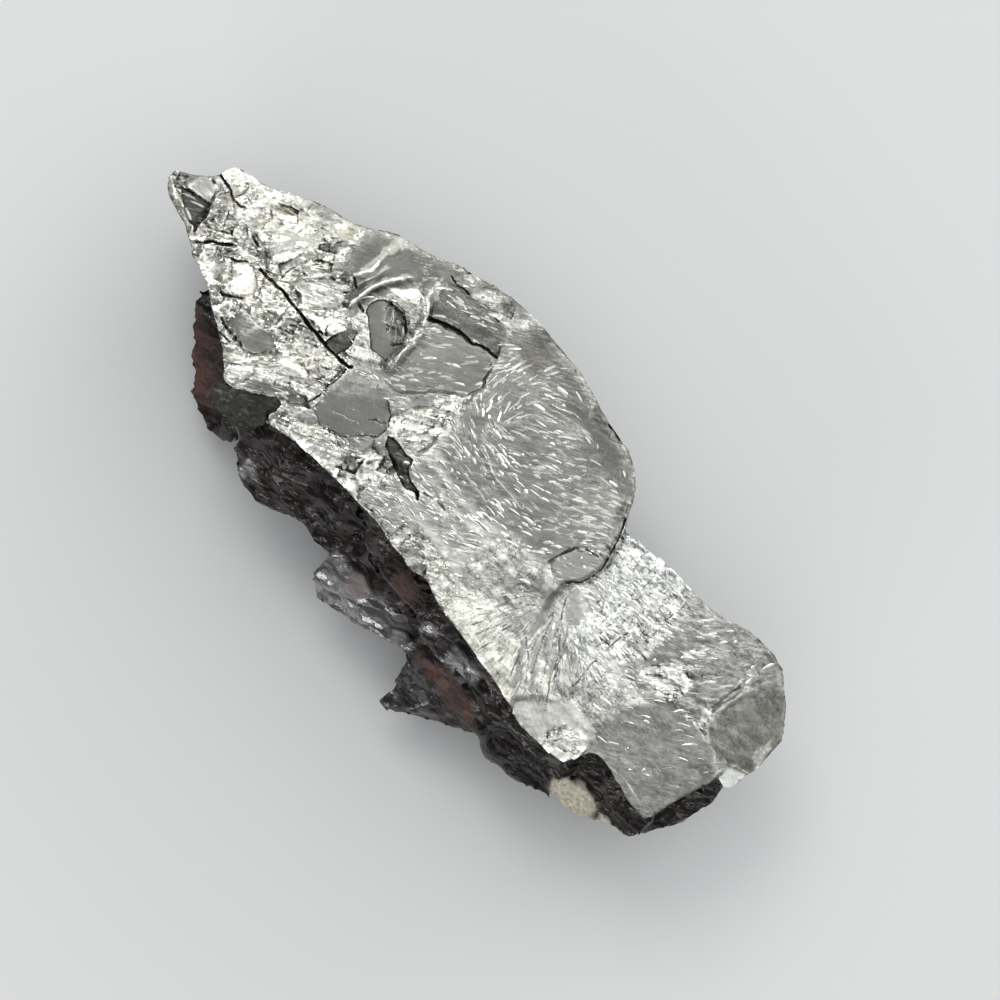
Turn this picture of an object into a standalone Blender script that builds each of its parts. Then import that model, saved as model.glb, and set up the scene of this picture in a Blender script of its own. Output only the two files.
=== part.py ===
"""A hand specimen of noble shungite, lying on its flattest side.

It is one broken stone, about 51 mm long. The silvery fracture face on top slopes from a high,
steep flank at -Y down to a thin rim at +Y. The pointed end is at -X, and ledges stand out low
on the flank. Every table is in millimetres, with the origin under the middle of the stone.
"""

import math
from dataclasses import dataclass

import bmesh
import bpy
import numpy as np
from mathutils import Matrix

LENGTH = 50.6            # mm, pointed end to broad end; the whole stone scales with it
DRAWN_LENGTH = 50.6      # mm, the length at which the tables below are drawn
TO_METRES = 0.001 * LENGTH / DRAWN_LENGTH    # the stone is drawn in mm and scaled once, at the end

SKIN_CELL = 0.21         # mm, the size of detail kept as the pieces are shaped and fused into one skin
TRIANGLES = 9600         # how many flat faces the finished stone keeps
BASE_TRIM = 0.2          # mm, taken off below to leave a true flat to rest on
BLOCK_SIZE = 90.0        # mm, the block that takes it off
WALL_STEP = 1.25         # mm, longest straight run along the walls
WALL_LEVELS = (1.6, 3.4, 5.2, 7.0, 8.6, 10.2, 11.8, 13.0)   # heights at which the walls bend
ABOVE = 15.5             # mm, higher than any point of the stone
BELOW = -1.0             # mm, lower than any point of the stone
SPINE = ((-14.0, 0.8), (16.0, 1.2))    # the walls lean towards or away from this line

HACKLE_TURN = math.radians(38.0)    # the low ridges that sweep over the two rounded lobes
HACKLE_SPACING = 2.6     # mm
HACKLE_HEIGHT = 0.12     # mm

FACE_COLOUR = (0.36, 0.36, 0.345, 1.0)
FACE_ROUGHNESS = 0.38
FACE_METALLIC = 0.75

# The edge between the silvery face and the flank, from the point to the broad end.
FLANK_EDGE = (
    (-25.3, 1.1), (-24.9, 0.4), (-24.4, 0.0), (-23.3, -0.3), (-22.0, -0.6), (-21.3, -1.0), (-20.6, -1.5),
    (-19.5, -1.75), (-18.4, -2.0), (-17.6, -2.5), (-17.0, -2.85), (-16.2, -3.2), (-15.3, -3.7),
    (-14.7, -4.1), (-13.6, -4.9), (-13.9, -5.4), (-13.8, -6.3), (-13.3, -6.7), (-12.4, -6.4),
    (-11.6, -6.6), (-10.9, -6.4), (-10.3, -5.9), (-9.9, -5.2), (-9.6, -4.75), (-8.0, -4.4),
    (-5.5, -4.2), (-3.8, -3.9), (-0.5, -4.0), (0.8, -4.2), (1.4, -4.05), (2.2, -4.4), (3.4, -4.05),
    (4.8, -4.6), (8.0, -4.85), (10.9, -5.1), (13.4, -5.75), (15.5, -5.55), (17.0, -5.45),
    (17.5, -4.5), (17.75, -3.6), (18.6, -3.5), (20.0, -3.65), (21.8, -4.0), (23.05, -3.9),
    (23.2, -2.6), (23.4, -1.2), (23.8, 0.0), (24.05, 1.05), (24.5, 0.95), (25.05, 0.75),
)

# The thin rim, from the broad end back to the point.
RIM_EDGE = (
    (25.25, 1.6), (25.3, 2.7), (25.3, 4.5), (25.2, 5.5), (24.6, 6.2), (23.9, 7.1), (23.3, 7.5),
    (22.5, 7.9), (21.9, 8.5), (21.1, 8.7), (19.3, 8.6), (18.2, 8.4), (17.3, 8.1), (16.4, 7.9),
    (15.1, 7.8), (13.0, 7.7), (11.6, 7.6), (10.6, 7.4), (9.1, 7.1), (8.7, 7.8), (8.2, 8.7),
    (7.5, 9.5), (6.7, 10.1), (5.9, 10.4), (3.8, 10.7), (1.6, 11.2), (0.6, 11.4), (-1.5, 11.5),
    (-3.5, 11.6), (-5.6, 11.3), (-6.7, 11.1), (-8.4, 10.5), (-9.3, 10.3), (-10.1, 9.8),
    (-11.7, 9.2), (-13.5, 8.6), (-14.8, 7.6), (-15.7, 7.2), (-16.9, 7.0), (-17.8, 6.7),
    (-18.9, 6.0), (-20.1, 5.4), (-20.7, 4.9), (-22.5, 4.5), (-23.1, 4.2), (-23.4, 3.6),
    (-23.2, 3.0), (-23.7, 2.4), (-24.3, 1.7), (-24.9, 1.6),
)

# Heights of the silvery face: x, y, z. A thin plate bent through them is its broad form.
FACE_HEIGHTS = (
    (-25.2, 1.1, 8.8), (-23.2, 3.8, 8.4), (-22.0, 0.0, 10.4), (-20.0, 4.6, 8.9), (-20.0, -1.4, 11.4),
    (-18.0, 5.8, 8.6), (-18.0, 1.5, 11.4), (-16.0, -3.0, 12.5), (-16.0, 2.0, 12.0), (-16.0, 6.3, 9.2),
    (-14.0, -4.4, 13.1), (-14.0, 0.0, 12.9), (-13.2, 8.3, 9.3), (-12.6, 6.9, 11.2), (-12.0, 3.5, 12.2),
    (-10.2, 9.4, 9.6), (-10.6, 7.0, 11.6), (-11.6, -6.2, 12.9), (-10.0, -4.4, 13.6), (-9.0, 1.0, 13.3),
    (-6.0, -4.0, 13.9), (-6.0, 0.0, 13.7), (-6.0, 5.0, 12.6), (-6.0, 9.3, 10.7), (-6.0, 11.0, 9.2),
    (-2.0, -3.8, 14.0), (-2.0, 3.0, 13.5), (-2.0, 8.0, 12.0), (-2.0, 11.2, 9.6), (3.0, -4.1, 14.1),
    (3.0, 1.0, 14.0), (3.0, 6.0, 13.0), (3.0, 9.4, 11.5), (3.0, 10.7, 9.9), (8.0, -4.7, 14.0),
    (8.0, 0.0, 13.9), (8.0, 5.0, 13.1), (7.6, 9.0, 10.6), (12.0, -5.2, 13.7), (12.0, 0.0, 13.5),
    (12.0, 4.5, 12.7), (12.0, 7.4, 11.6), (16.0, -5.4, 13.2), (16.0, 0.0, 13.3), (17.0, 7.9, 11.2),
    (20.0, -3.6, 12.8), (20.0, 2.0, 12.9), (21.0, 8.5, 10.3), (23.2, -2.0, 12.3), (23.0, 4.0, 11.9),
    (25.0, 1.5, 10.8), (25.1, 4.0, 10.2), (24.0, 6.8, 9.9),
)

# Raised ribs on the silvery face: the points of the crest, its height and half its width.
FACE_RIBS = (
    (((-12.9, 8.9), (-12.8, 7.2), (-12.6, 6.0), (-13.1, 5.0)), 0.55, 0.55),
    (((-10.6, 7.6), (-11.4, 6.4), (-11.8, 5.2), (-11.9, 3.8)), 0.5, 0.5),
    (((-9.4, 8.9), (-9.2, 7.4), (-8.0, 6.4), (-7.6, 4.6), (-7.6, 3.0)), 0.35, 0.5),
    (((-14.4, -3.6), (-13.0, -2.2), (-11.2, -1.3), (-9.6, -1.0)), 0.3, 0.7),
    (((-0.1, 3.9), (0.9, 3.5), (1.9, 3.15), (3.4, 3.2), (4.6, 3.4)), 0.16, 0.6),
    (((-1.9, 0.8), (0.0, 0.8), (1.4, 0.6), (4.0, 0.9)), 0.16, 0.5),
    (((16.1, 4.4), (17.5, 4.7), (18.9, 5.5)), 0.22, 0.6),
    (((20.7, 3.8), (21.1, 5.0), (21.6, 6.6), (22.0, 7.7)), 0.25, 0.45),
    (((-25.0, 0.7), (-24.0, 0.35), (-22.6, 0.1), (-21.6, -0.3)), 0.35, 0.35),
)


@dataclass(frozen=True)
class Facet:
    """A flat chip in the silvery face: its outline, how far its middle lies below the face,
    how steeply it tilts and the compass angle that it falls towards (0 is +X, 90 is +Y)."""

    name: str
    outline: tuple
    sink: float
    tilt: float
    toward: float


FACETS = (
    Facet("tip_hollow", ((-24.0, 0.75), (-22.9, 1.25), (-22.1, 1.5), (-21.3, -0.3), (-22.4, 0.1),
                         (-23.5, 0.5)), 0.8, 12.0, 60.0),
    Facet("tip_shoulder", ((-24.2, 1.1), (-23.7, 2.6), (-22.4, 2.4), (-22.1, 1.5), (-22.9, 1.25)),
          0.25, 24.0, 110.0),
    Facet("pale_chip", ((-18.1, 0.6), (-16.9, 0.6), (-16.1, -0.2), (-16.5, -0.8), (-17.5, -0.9),
                        (-18.5, 0.1)), 0.2, 14.0, 90.0),
    Facet("left_pad", ((-16.0, -1.3), (-14.2, -1.1), (-12.7, -1.4), (-13.2, -2.3), (-14.1, -2.85),
                       (-15.9, -2.6)), 0.35, 3.0, -100.0),
    Facet("groove", ((-16.6, 2.2), (-15.9, 4.0), (-15.2, 4.0), (-15.8, 1.7)), 0.45, 20.0, 170.0),
    Facet("step_band", ((-13.0, -4.6), (-11.3, -2.8), (-9.6, -2.0), (-8.9, -2.3), (-10.4, -3.1),
                        (-12.3, -4.4)), 0.4, 16.0, -50.0),
    Facet("lip", ((-14.5, -5.5), (-12.4, -4.6), (-10.7, -3.3), (-10.0, -3.4), (-10.2, -4.5),
                  (-9.3, -5.2), (-10.4, -7.2), (-14.5, -7.2)), 1.1, 20.0, -95.0),
    Facet("brown_chip", ((-11.2, 1.1), (-10.8, 2.9), (-10.1, 2.9), (-10.0, 1.0)), 0.55, 10.0, -90.0),
    Facet("worn_pad", ((-9.0, 1.3), (-7.5, 1.5), (-5.6, 1.35), (-4.9, 0.5), (-5.0, -0.7),
                       (-6.2, -1.8), (-7.8, -2.6), (-8.9, -2.0)), 0.4, 3.0, -80.0),
    Facet("pan", ((-7.5, 6.0), (-7.0, 6.9), (-5.3, 7.4), (-4.1, 7.8), (-2.8, 6.1), (-3.2, 5.0),
                  (-4.4, 4.2), (-5.8, 2.5), (-6.8, 2.2), (-7.2, 4.2)), 0.7, 9.0, 80.0),
    Facet("dark_pad", ((-8.9, 8.2), (-8.6, 9.1), (-6.4, 9.3), (-4.1, 9.0), (-3.9, 8.3), (-5.6, 7.8),
                       (-7.2, 7.3), (-8.1, 6.9)), 0.3, 14.0, 95.0),
    Facet("slot", ((-4.6, 0.0), (-3.9, 0.3), (-2.4, 0.4), (-2.2, -0.3), (-0.4, -1.1), (-1.4, -1.3),
                   (-2.9, -0.9), (-4.4, -0.6)), 0.9, 14.0, -95.0),
    Facet("oval_chip", ((7.6, 2.3), (8.0, 3.8), (9.0, 4.55), (9.8, 4.5), (9.95, 3.6), (9.2, 2.1)),
          0.3, 6.0, -60.0),
    Facet("lower_lobe", ((8.85, 7.3), (9.4, 6.1), (9.8, 4.9), (10.0, 4.2), (9.9, 3.2), (9.2, 2.1),
                         (9.4, 0.0), (14.5, -1.0), (17.0, 2.4), (20.6, 3.6), (21.2, 9.6),
                         (8.85, 9.6)), 0.55, 16.5, 84.0),
    Facet("pale_patch", ((13.4, -3.3), (14.5, -2.6), (16.3, -2.2), (17.0, -3.0), (17.75, -3.7),
                         (17.6, -6.6), (13.4, -6.6), (12.2, -4.6)), 0.2, 4.0, -60.0),
    Facet("bright_chip", ((16.2, 1.4), (16.5, 3.0), (16.9, 3.6), (18.5, 3.9), (18.8, 2.3),
                          (18.0, 1.5)), 0.3, 14.0, 90.0),
    Facet("smooth_flat", ((18.9, 2.1), (21.0, 2.2), (23.2, 1.5), (23.8, -0.6), (23.8, -4.9),
                          (17.8, -4.9), (17.0, -3.0), (17.2, -0.5), (17.9, 1.2)), 0.3, 3.5, -20.0),
    Facet("end_flat", ((22.2, 7.4), (23.0, 7.3), (24.8, 8.4), (26.5, 5.3), (26.5, 2.9), (24.3, 2.4),
                       (23.6, 1.8), (22.3, 2.0), (21.2, 2.9), (21.1, 4.3), (21.3, 5.4), (22.2, 6.4)),
          0.6, 16.0, 35.0),
    Facet("hollow_floor", ((-11.0, 4.9), (-10.4, 5.6), (-9.3, 5.7), (-8.4, 5.0), (-7.9, 4.2), (-7.8, 3.0),
                           (-8.9, 2.9), (-9.6, 3.2), (-10.9, 4.1)), 1.0, 9.0, 62.0),
    Facet("long_hollow", ((-12.3, 8.2), (-11.6, 8.3), (-11.4, 7.2), (-11.9, 5.6), (-12.1, 4.3), (-12.8, 4.4),
                          (-12.5, 6.2)), 0.5, 20.0, 185.0),
    Facet("rim_hollow", ((-3.3, 11.0), (-0.9, 11.0), (-0.8, 10.2), (-1.0, 9.1), (-2.0, 8.9), (-3.0, 9.3)),
          0.3, 19.0, 80.0),
    Facet("left_hollow", ((-15.0, 6.6), (-13.6, 6.9), (-13.3, 5.4), (-14.1, 4.3), (-15.2, 4.6)),
          0.35, 24.0, 60.0),
    Facet("end_chip", ((23.9, 2.2), (26.5, 3.0), (26.5, 0.3), (24.0, 0.6)), 0.7, 26.0, 30.0),
)


@dataclass(frozen=True)
class Crack:
    """An open crack in the silvery face: its path, half its width at the middle and its depth."""

    name: str
    path: tuple
    half_width: float
    depth: float


CRACKS = (
    Crack("main_crack", ((-17.1, 1.1), (-16.3, 1.1), (-15.0, 1.2), (-13.8, 1.12), (-12.5, 1.03),
                         (-11.0, 0.92), (-9.9, 1.0), (-9.0, 1.25)), 0.2, 1.2),
    Crack("tip_crack", ((-23.6, 3.2), (-22.3, 3.0), (-21.7, 2.75), (-21.2, 2.62), (-20.3, 2.88)),
          0.14, 0.7),
    Crack("tip_cut", ((-19.1, 0.85), (-20.1, 0.15), (-20.9, -0.85)), 0.2, 0.8),
    Crack("short_cut", ((-17.8, 0.8), (-18.3, 0.55), (-18.8, 0.15)), 0.15, 0.5),
    Crack("edge_cut", ((-16.3, -0.7), (-17.0, -1.25), (-17.6, -1.7)), 0.15, 0.5),
    Crack("step_crack", ((-3.7, 8.25), (-4.9, 7.8), (-5.9, 7.52), (-6.9, 7.25), (-8.1, 6.55)), 0.16, 0.8),
    Crack("rim_crack", ((-9.1, 9.3), (-8.4, 9.3), (-7.5, 9.5)), 0.14, 0.5),
    Crack("lobe_crack", ((8.8, 7.4), (9.35, 6.1), (9.8, 4.95), (10.05, 4.1), (9.85, 3.1), (9.1, 2.0)),
          0.12, 0.9),
)


@dataclass(frozen=True)
class Ledge:
    """A shelf on the flank: its outline, its height at two distances from the middle, its
    fall along +X, the lines across it (turn, spacing, depth) and the height of its underside."""

    name: str
    outline: tuple
    inner: tuple
    outer: tuple
    fall: float
    lines: tuple
    foot: float


LEDGES = (
    Ledge("flank_foot", ((-13.0, -6.4), (-9.0, -7.2), (-4.0, -6.9), (-1.5, -7.5), (3.0, -7.9), (6.5, -8.0),
                         (10.5, -7.9), (14.0, -7.4), (18.5, -6.6), (21.5, -5.4), (23.4, -3.6),
                         (22.0, -1.0), (-13.0, -1.0)), (-4.6, 8.2), (-7.8, 4.6), 0.0,
          (20.0, 2.1, 0.3), 0.3),
    Ledge("apron", ((-19.9, -1.4), (-19.4, -2.0), (-18.6, -3.4), (-17.5, -4.8), (-16.2, -6.1),
                    (-14.9, -7.3), (-13.7, -8.0), (-12.6, -8.15), (-11.4, -7.9), (-10.3, -7.4),
                    (-9.5, -5.0), (-9.5, -1.0), (-17.5, 0.5)), (-2.5, 6.8), (-8.2, 2.6), 0.05,
          (60.0, 1.9, 0.16), 0.4),
    Ledge("streaked_ledge", ((-10.8, -6.4), (-10.6, -7.5), (-9.9, -8.0), (-9.0, -8.8), (-8.3, -8.9),
                             (-6.6, -8.75), (-5.8, -8.5), (-4.7, -8.0), (-3.9, -7.5), (-3.0, -7.8),
                             (-2.2, -7.8), (-1.5, -7.2), (-1.0, -5.4), (-1.2, -2.0), (-9.6, -2.0)),
          (-4.8, 10.4), (-8.9, 6.6), 0.1, (28.0, 1.3, 0.3), 1.7),
    Ledge("dark_shelf", ((-1.8, -5.2), (0.0, -6.0), (2.4, -6.1), (4.6, -6.2), (6.1, -6.9),
                         (7.6, -6.75), (9.6, -6.7), (11.2, -7.1), (12.9, -7.8), (13.6, -5.0),
                         (13.0, -2.0), (-1.5, -2.0)), (-4.9, 11.3), (-7.2, 9.2), 0.02,
          (8.0, 1.6, 0.25), 2.6),
    Ledge("grey_ledge", ((-2.1, -8.9), (-1.2, -9.6), (-0.3, -10.2), (0.7, -9.9), (1.8, -9.6),
                         (3.0, -9.3), (3.9, -8.85), (4.8, -8.5), (5.7, -8.2), (6.2, -7.2),
                         (5.6, -5.0), (5.0, -2.0), (-1.0, -2.0), (-1.9, -6.8)),
          (-6.2, 8.0), (-10.1, 4.8), 0.05, (38.0, 1.5, 0.3), 0.9),
    Ledge("prow", ((5.5, -7.4), (5.9, -8.5), (6.2, -9.3), (6.6, -10.1), (6.7, -11.1), (6.85, -11.9),
                   (7.15, -12.04), (7.8, -11.6), (8.8, -11.0), (10.1, -10.1), (11.4, -9.2), (12.4, -8.5),
                   (13.2, -7.4), (13.0, -2.0), (6.0, -2.0)), (-7.0, 7.6), (-11.6, 3.4), 0.0,
          (30.0, 1.4, 0.3), 0.7),
    Ledge("dark_ledge", ((12.2, -6.4), (13.0, -8.6), (14.2, -8.9), (15.3, -8.7), (16.4, -8.5),
                         (17.6, -7.9), (18.6, -7.5), (18.4, -2.0), (12.6, -2.0)),
          (-5.7, 10.6), (-8.9, 6.2), 0.08, (20.0, 1.3, 0.3), 1.2),
    Ledge("notch_floor", ((17.1, -5.2), (17.5, -7.9), (18.5, -7.5), (19.3, -7.5), (20.4, -7.2),
                          (21.4, -6.5), (22.1, -5.8), (23.4, -5.5), (23.8, -5.0), (23.6, -1.0),
                          (17.2, -1.0)), (-3.8, 10.2), (-7.6, 6.6), 0.05, (-15.0, 1.7, 0.25), 1.6),
    Ledge("end_ledge", ((22.6, -3.8), (23.4, -5.3), (23.8, -5.0), (24.1, -4.1), (24.7, -3.3),
                        (25.1, -2.2), (25.25, -0.9), (25.2, 0.3), (25.05, 0.95), (23.0, 2.6),
                        (21.0, 2.6), (21.0, -3.0)), (0.8, 9.6), (-4.6, 7.0), 0.35,
          (75.0, 1.2, 0.25), 2.4),
)

# How the walls lean: depth below the face's edge, and how far in (+) or out (-) they are there.
FLANK_LEAN = ((0.0, 0.0), (0.5, 0.0), (2.5, -0.55), (5.0, -0.75), (8.0, 0.4), (11.0, 1.7), (14.0, 2.6))
RIM_LEAN = ((0.0, 0.0), (0.5, 0.0), (1.8, 0.8), (3.4, 1.3), (5.2, 3.0), (7.2, 3.7), (9.6, 5.4), (14.0, 6.4))
LEDGE_LEAN = ((0.0, -0.28), (0.6, -0.25), (1.8, 0.45), (3.4, 1.2), (5.5, 2.8), (8.0, 4.7))
WALL_ROUGHNESS = 0.38    # mm, how far the wall's corners stray from that lean
LEAN_LIMIT = 0.58        # share of the way to the spine that a wall may lean in
BULGE_END = 22.0         # mm from the middle, where the flank stops bulging out
BULGE_FADE = 3.0         # mm over which that bulge fades

# Flat breaks of the underside, which rise from the flat it rests on: a point where each starts
# and its slope along X and along Y.
UNDER_BREAKS = (
    ((-15.5, 0.0), (-0.52, 0.08)),
    ((-19.0, -2.0), (-0.50, -0.42)),
    ((17.0, 0.0), (0.40, 0.10)),
    ((2.0, 3.6), (0.06, 0.52)),
    ((4.0, -3.8), (0.03, -0.36)),
)

SCALLOP_LAYERS = (       # size in mm and depth in mm of the shell-like hollows in the sides
    (5.0, 0.95, 21),
    (2.2, 0.28, 22),
)
SCALLOP_STRETCH = (0.72, 1.0, 1.15)      # the hollows are wider along the stone than they are high
SCALLOP_END = 24.0       # mm from the middle, where the hollows become shallow
SCALLOP_FADE = 4.0       # mm over which they do


def lattice(column, row, seed):
    """A fixed random number from -1 to 1 for each whole-number place."""
    mixed = np.sin(column * 127.1 + row * 311.7 + seed * 74.7) * 43758.5453
    return (mixed - np.floor(mixed)) * 2.0 - 1.0


def lumps(x, y, size, seed):
    """Smooth lumps about size mm across, from -1 to 1."""
    u, v = x / size, y / size
    column, row = np.floor(u), np.floor(v)
    s, t = u - column, v - row
    s, t = s * s * (3 - 2 * s), t * t * (3 - 2 * t)
    low = lattice(column, row, seed) * (1 - s) + lattice(column + 1, row, seed) * s
    high = lattice(column, row + 1, seed) * (1 - s) + lattice(column + 1, row + 1, seed) * s
    return low * (1 - t) + high * t


def scallops(places, size, seed):
    """Shell-like hollows with sharp ridges between: 0 in the hollows' middles, up to about 1."""
    scaled = places * SCALLOP_STRETCH / size
    corner = np.floor(scaled)
    nearest = np.full(len(places), np.inf)
    for step in np.ndindex(3, 3, 3):
        cell = corner + np.array(step) - 1.0
        column, row = cell[:, 0] + 17.0 * cell[:, 2], cell[:, 1] - 13.0 * cell[:, 2]
        shift = np.stack([lattice(column, row, seed + k) for k in range(3)], axis=1)
        away = np.sum((cell + 0.5 + 0.45 * shift - scaled) ** 2, axis=1)
        nearest = np.minimum(nearest, away)
    return nearest


def bent_plate(marks):
    """Return a function of x and y: the thin plate bent through the marked heights."""
    marks = np.array(marks)
    places, heights = marks[:, :2], marks[:, 2]

    def bend(distance):
        return distance ** 2 * np.log(distance + 1e-9)

    count = len(marks)
    flat = np.column_stack((np.ones(count), places))
    between = np.linalg.norm(places[:, None] - places[None], axis=2)
    system = np.zeros((count + 3, count + 3))
    system[:count, :count] = bend(between)
    system[:count, count:] = flat
    system[count:, :count] = flat.T
    weights = np.linalg.solve(system, np.append(heights, np.zeros(3)))

    def height(x, y):
        away = np.hypot(x[..., None] - places[:, 0], y[..., None] - places[:, 1])
        level, rise_x, rise_y = weights[count:]
        return bend(away) @ weights[:count] + level + rise_x * x + rise_y * y

    return height


def distance_to_path(x, y, path):
    """The distance in mm from each place to a path of straight runs."""
    nearest = np.full(np.shape(x), np.inf)
    for (ax, ay), (bx, by) in zip(path, path[1:]):
        length = (bx - ax) ** 2 + (by - ay) ** 2
        share = np.clip(((x - ax) * (bx - ax) + (y - ay) * (by - ay)) / length, 0.0, 1.0)
        nearest = np.minimum(nearest, np.hypot(x - ax - share * (bx - ax), y - ay - share * (by - ay)))
    return nearest


def inside(x, y, outline):
    """Tell for each place whether it lies inside a closed outline."""
    within = np.zeros(np.shape(x), dtype=bool)
    for (ax, ay), (bx, by) in zip(outline, outline[1:] + outline[:1]):
        if ay != by:
            spans = (ay > y) != (by > y)
            within ^= spans & (x < ax + (y - ay) * (bx - ax) / (by - ay))
    return within


broad_form = bent_plate(FACE_HEIGHTS)


def unbroken_height(x, y):
    """The silvery face before its chips: broad form, ribs, knobs and shallow waves."""
    height = broad_form(x, y)
    for path, rise, half_width in FACE_RIBS:
        height = height + rise * np.exp(-(distance_to_path(x, y, path) / half_width) ** 2)
    knobby = np.clip((-5.0 - x) / 4.0, 0.0, 1.0)
    height = height + knobby * (0.16 * lumps(x, y, 1.5, 3) + 0.10 * lumps(x, y, 0.8, 4))
    across = y * math.cos(HACKLE_TURN) - x * math.sin(HACKLE_TURN)
    wave = (across / HACKLE_SPACING + 0.5 * lumps(x, y, 3.4, 7)) % 1.0
    height = height + HACKLE_HEIGHT * np.clip((x + 3.0) / 4.0, 0.0, 1.0) * np.abs(wave * 2.0 - 1.0)
    return height + 0.10 * lumps(x + 0.5 * y, y - 0.5 * x, 2.3, 5) + 0.05 * lumps(x, y * 2, 1.3, 6)


def facet_height(facet, x, y):
    """The height of a facet's plane at each place."""
    middle = np.mean(np.array(facet.outline), axis=0)
    start = broad_form(np.array([middle[0]]), np.array([middle[1]]))[0] - facet.sink
    fall = math.tan(math.radians(facet.tilt))
    way = math.radians(facet.toward)
    return start - fall * ((x - middle[0]) * math.cos(way) + (y - middle[1]) * math.sin(way))


def face_height(x, y):
    """The silvery face with its facets and open cracks."""
    height = unbroken_height(x, y)
    for facet in FACETS:
        cut = inside(x, y, facet.outline)
        height = np.where(cut, np.minimum(height, facet_height(facet, x, y)), height)
    for crack in CRACKS:
        near = distance_to_path(x, y, crack.path) / (crack.half_width * 1.5)
        height = height - crack.depth * np.clip(1.0 - near, 0.0, 1.0) ** 0.7
    return height


def under_height(x, y):
    """The underside: the flat it rests on and the breaks that rise from it."""
    height = np.zeros(np.shape(x))
    for (start_x, start_y), (slope_x, slope_y) in UNDER_BREAKS:
        height = np.maximum(height, (x - start_x) * slope_x + (y - start_y) * slope_y)
    return height


def ledge_height(ledge):
    """Return a function of x and y: the sloping, lined top of a ledge."""
    (near, high), (far, low) = ledge.inner, ledge.outer
    turn, spacing, depth = ledge.lines
    middle = sum(x for x, _ in ledge.outline) / len(ledge.outline)
    turn = math.radians(turn)

    def height(x, y):
        slope = high + (low - high) * np.clip((y - near) / (far - near), 0.0, None)
        across = -x * math.sin(turn) + y * math.cos(turn)
        line = np.abs((across / spacing + 0.35 * lumps(x, y, 2.0, 8)) % 1.0 - 0.5) * 2.0
        return slope - ledge.fall * (x - middle) - depth * line + 0.2 * lumps(x, y, 1.7, 9)

    return height


def into_collection(item, collection):
    """Link an object to its collection."""
    collection.objects.link(item)
    return item


def curve_to_mesh(curve, collection):
    """Turn a curve into a welded mesh object."""
    holder = bpy.data.objects.new(curve.name, curve)
    bpy.context.scene.collection.objects.link(holder)
    bpy.context.view_layer.update()
    evaluated = holder.evaluated_get(bpy.context.evaluated_depsgraph_get())
    mesh = bpy.data.meshes.new_from_object(evaluated)
    bpy.data.objects.remove(holder)
    bpy.data.curves.remove(curve)
    shape = bmesh.new()
    shape.from_mesh(mesh)
    bmesh.ops.remove_doubles(shape, verts=shape.verts, dist=1e-3)
    bmesh.ops.recalc_face_normals(shape, faces=shape.faces)
    shape.to_mesh(mesh)
    shape.free()
    return into_collection(bpy.data.objects.new(mesh.name, mesh), collection)


def prism(name, outline, low, high, collection):
    """A flat outline stood up between two heights."""
    curve = bpy.data.curves.new(name, "CURVE")
    curve.dimensions = "2D"
    curve.fill_mode = "BOTH"
    curve.extrude = (high - low) / 2
    spline = curve.splines.new("POLY")
    spline.points.add(len(outline) - 1)
    for point, (x, y) in zip(spline.points, outline):
        point.co = (x, y, 0.0, 1.0)
    spline.use_cyclic_u = True
    solid = curve_to_mesh(curve, collection)
    solid.data.transform(Matrix.Translation((0, 0, (high + low) / 2)))
    shape = bmesh.new()
    shape.from_mesh(solid.data)
    for way in (-1, 1):
        bmesh.ops.dissolve_faces(shape, faces=[face for face in shape.faces if face.normal.z * way > 0.9])
    shape.to_mesh(solid.data)
    shape.free()
    return solid


def read_places(solid):
    """The corners of a mesh as an array of x, y, z."""
    places = np.empty(len(solid.data.vertices) * 3)
    solid.data.vertices.foreach_get("co", places)
    return places.reshape(-1, 3)


def clip_to_reliefs(solid, top, bottom):
    """Press the ends of an upright solid onto a relief above and a relief below."""
    places = read_places(solid)
    x, y, z = places.T
    places[:, 2] = np.minimum(np.maximum(z, bottom(x, y)), top(x, y))
    solid.data.vertices.foreach_set("co", places.ravel())


def combine(target, operation, tool):
    """Apply one exact Boolean to the target's mesh."""
    apply_modifier(target, "BOOLEAN", operation=operation, solver="EXACT", object=tool)


def with_short_runs(outline, step):
    """The closed outline with its long runs split into runs no longer than step."""
    points = []
    for (ax, ay), (bx, by) in zip(outline, outline[1:] + outline[:1]):
        pieces = max(1, math.ceil(math.hypot(bx - ax, by - ay) / step))
        points += [(ax + (bx - ax) * i / pieces, ay + (by - ay) * i / pieces) for i in range(pieces)]
    return tuple(points)


def lean_walls(solid, height, lean_at, middle):
    """Move the corners of upright walls in or out, by their depth below the top relief.

    lean_at gives the lean for arrays of x, y and depth; middle gives the place they lean to.
    """
    places = read_places(solid)
    x, y, z = places.T
    depth = np.clip(height(x, y) - z, 0.0, None)
    to_x, to_y = middle(x, y)
    away = np.hypot(to_x - x, to_y - y) + 1e-6
    stray = 1.0 + lumps(x + 3.1 * z, y - 2.3 * z, 2.6, 11)
    stray *= WALL_ROUGHNESS * np.clip(depth - 0.4, 0.0, 1.0)
    lean = np.minimum(lean_at(x, y, depth) + stray, LEAN_LIMIT * away)
    places[:, 0] += lean * (to_x - x) / away
    places[:, 1] += lean * (to_y - y) / away
    solid.data.vertices.foreach_set("co", places.ravel())
    shape = bmesh.new()
    shape.from_mesh(solid.data)
    bmesh.ops.triangulate(shape, faces=shape.faces, quad_method="SHORT_EDGE", ngon_method="EAR_CLIP")
    shape.to_mesh(solid.data)
    shape.free()


def cut_levels(solid, levels):
    """Add a ring of corners to the walls at each level."""
    shape = bmesh.new()
    shape.from_mesh(solid.data)
    for level in levels:
        everything = shape.verts[:] + shape.edges[:] + shape.faces[:]
        bmesh.ops.bisect_plane(shape, geom=everything, plane_co=(0, 0, level), plane_no=(0, 0, 1))
    shape.to_mesh(solid.data)
    shape.free()


def profile(table, depth):
    """Read a lean from a table of depth and lean."""
    depths, leans = zip(*table)
    return np.interp(depth, depths, leans)


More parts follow.
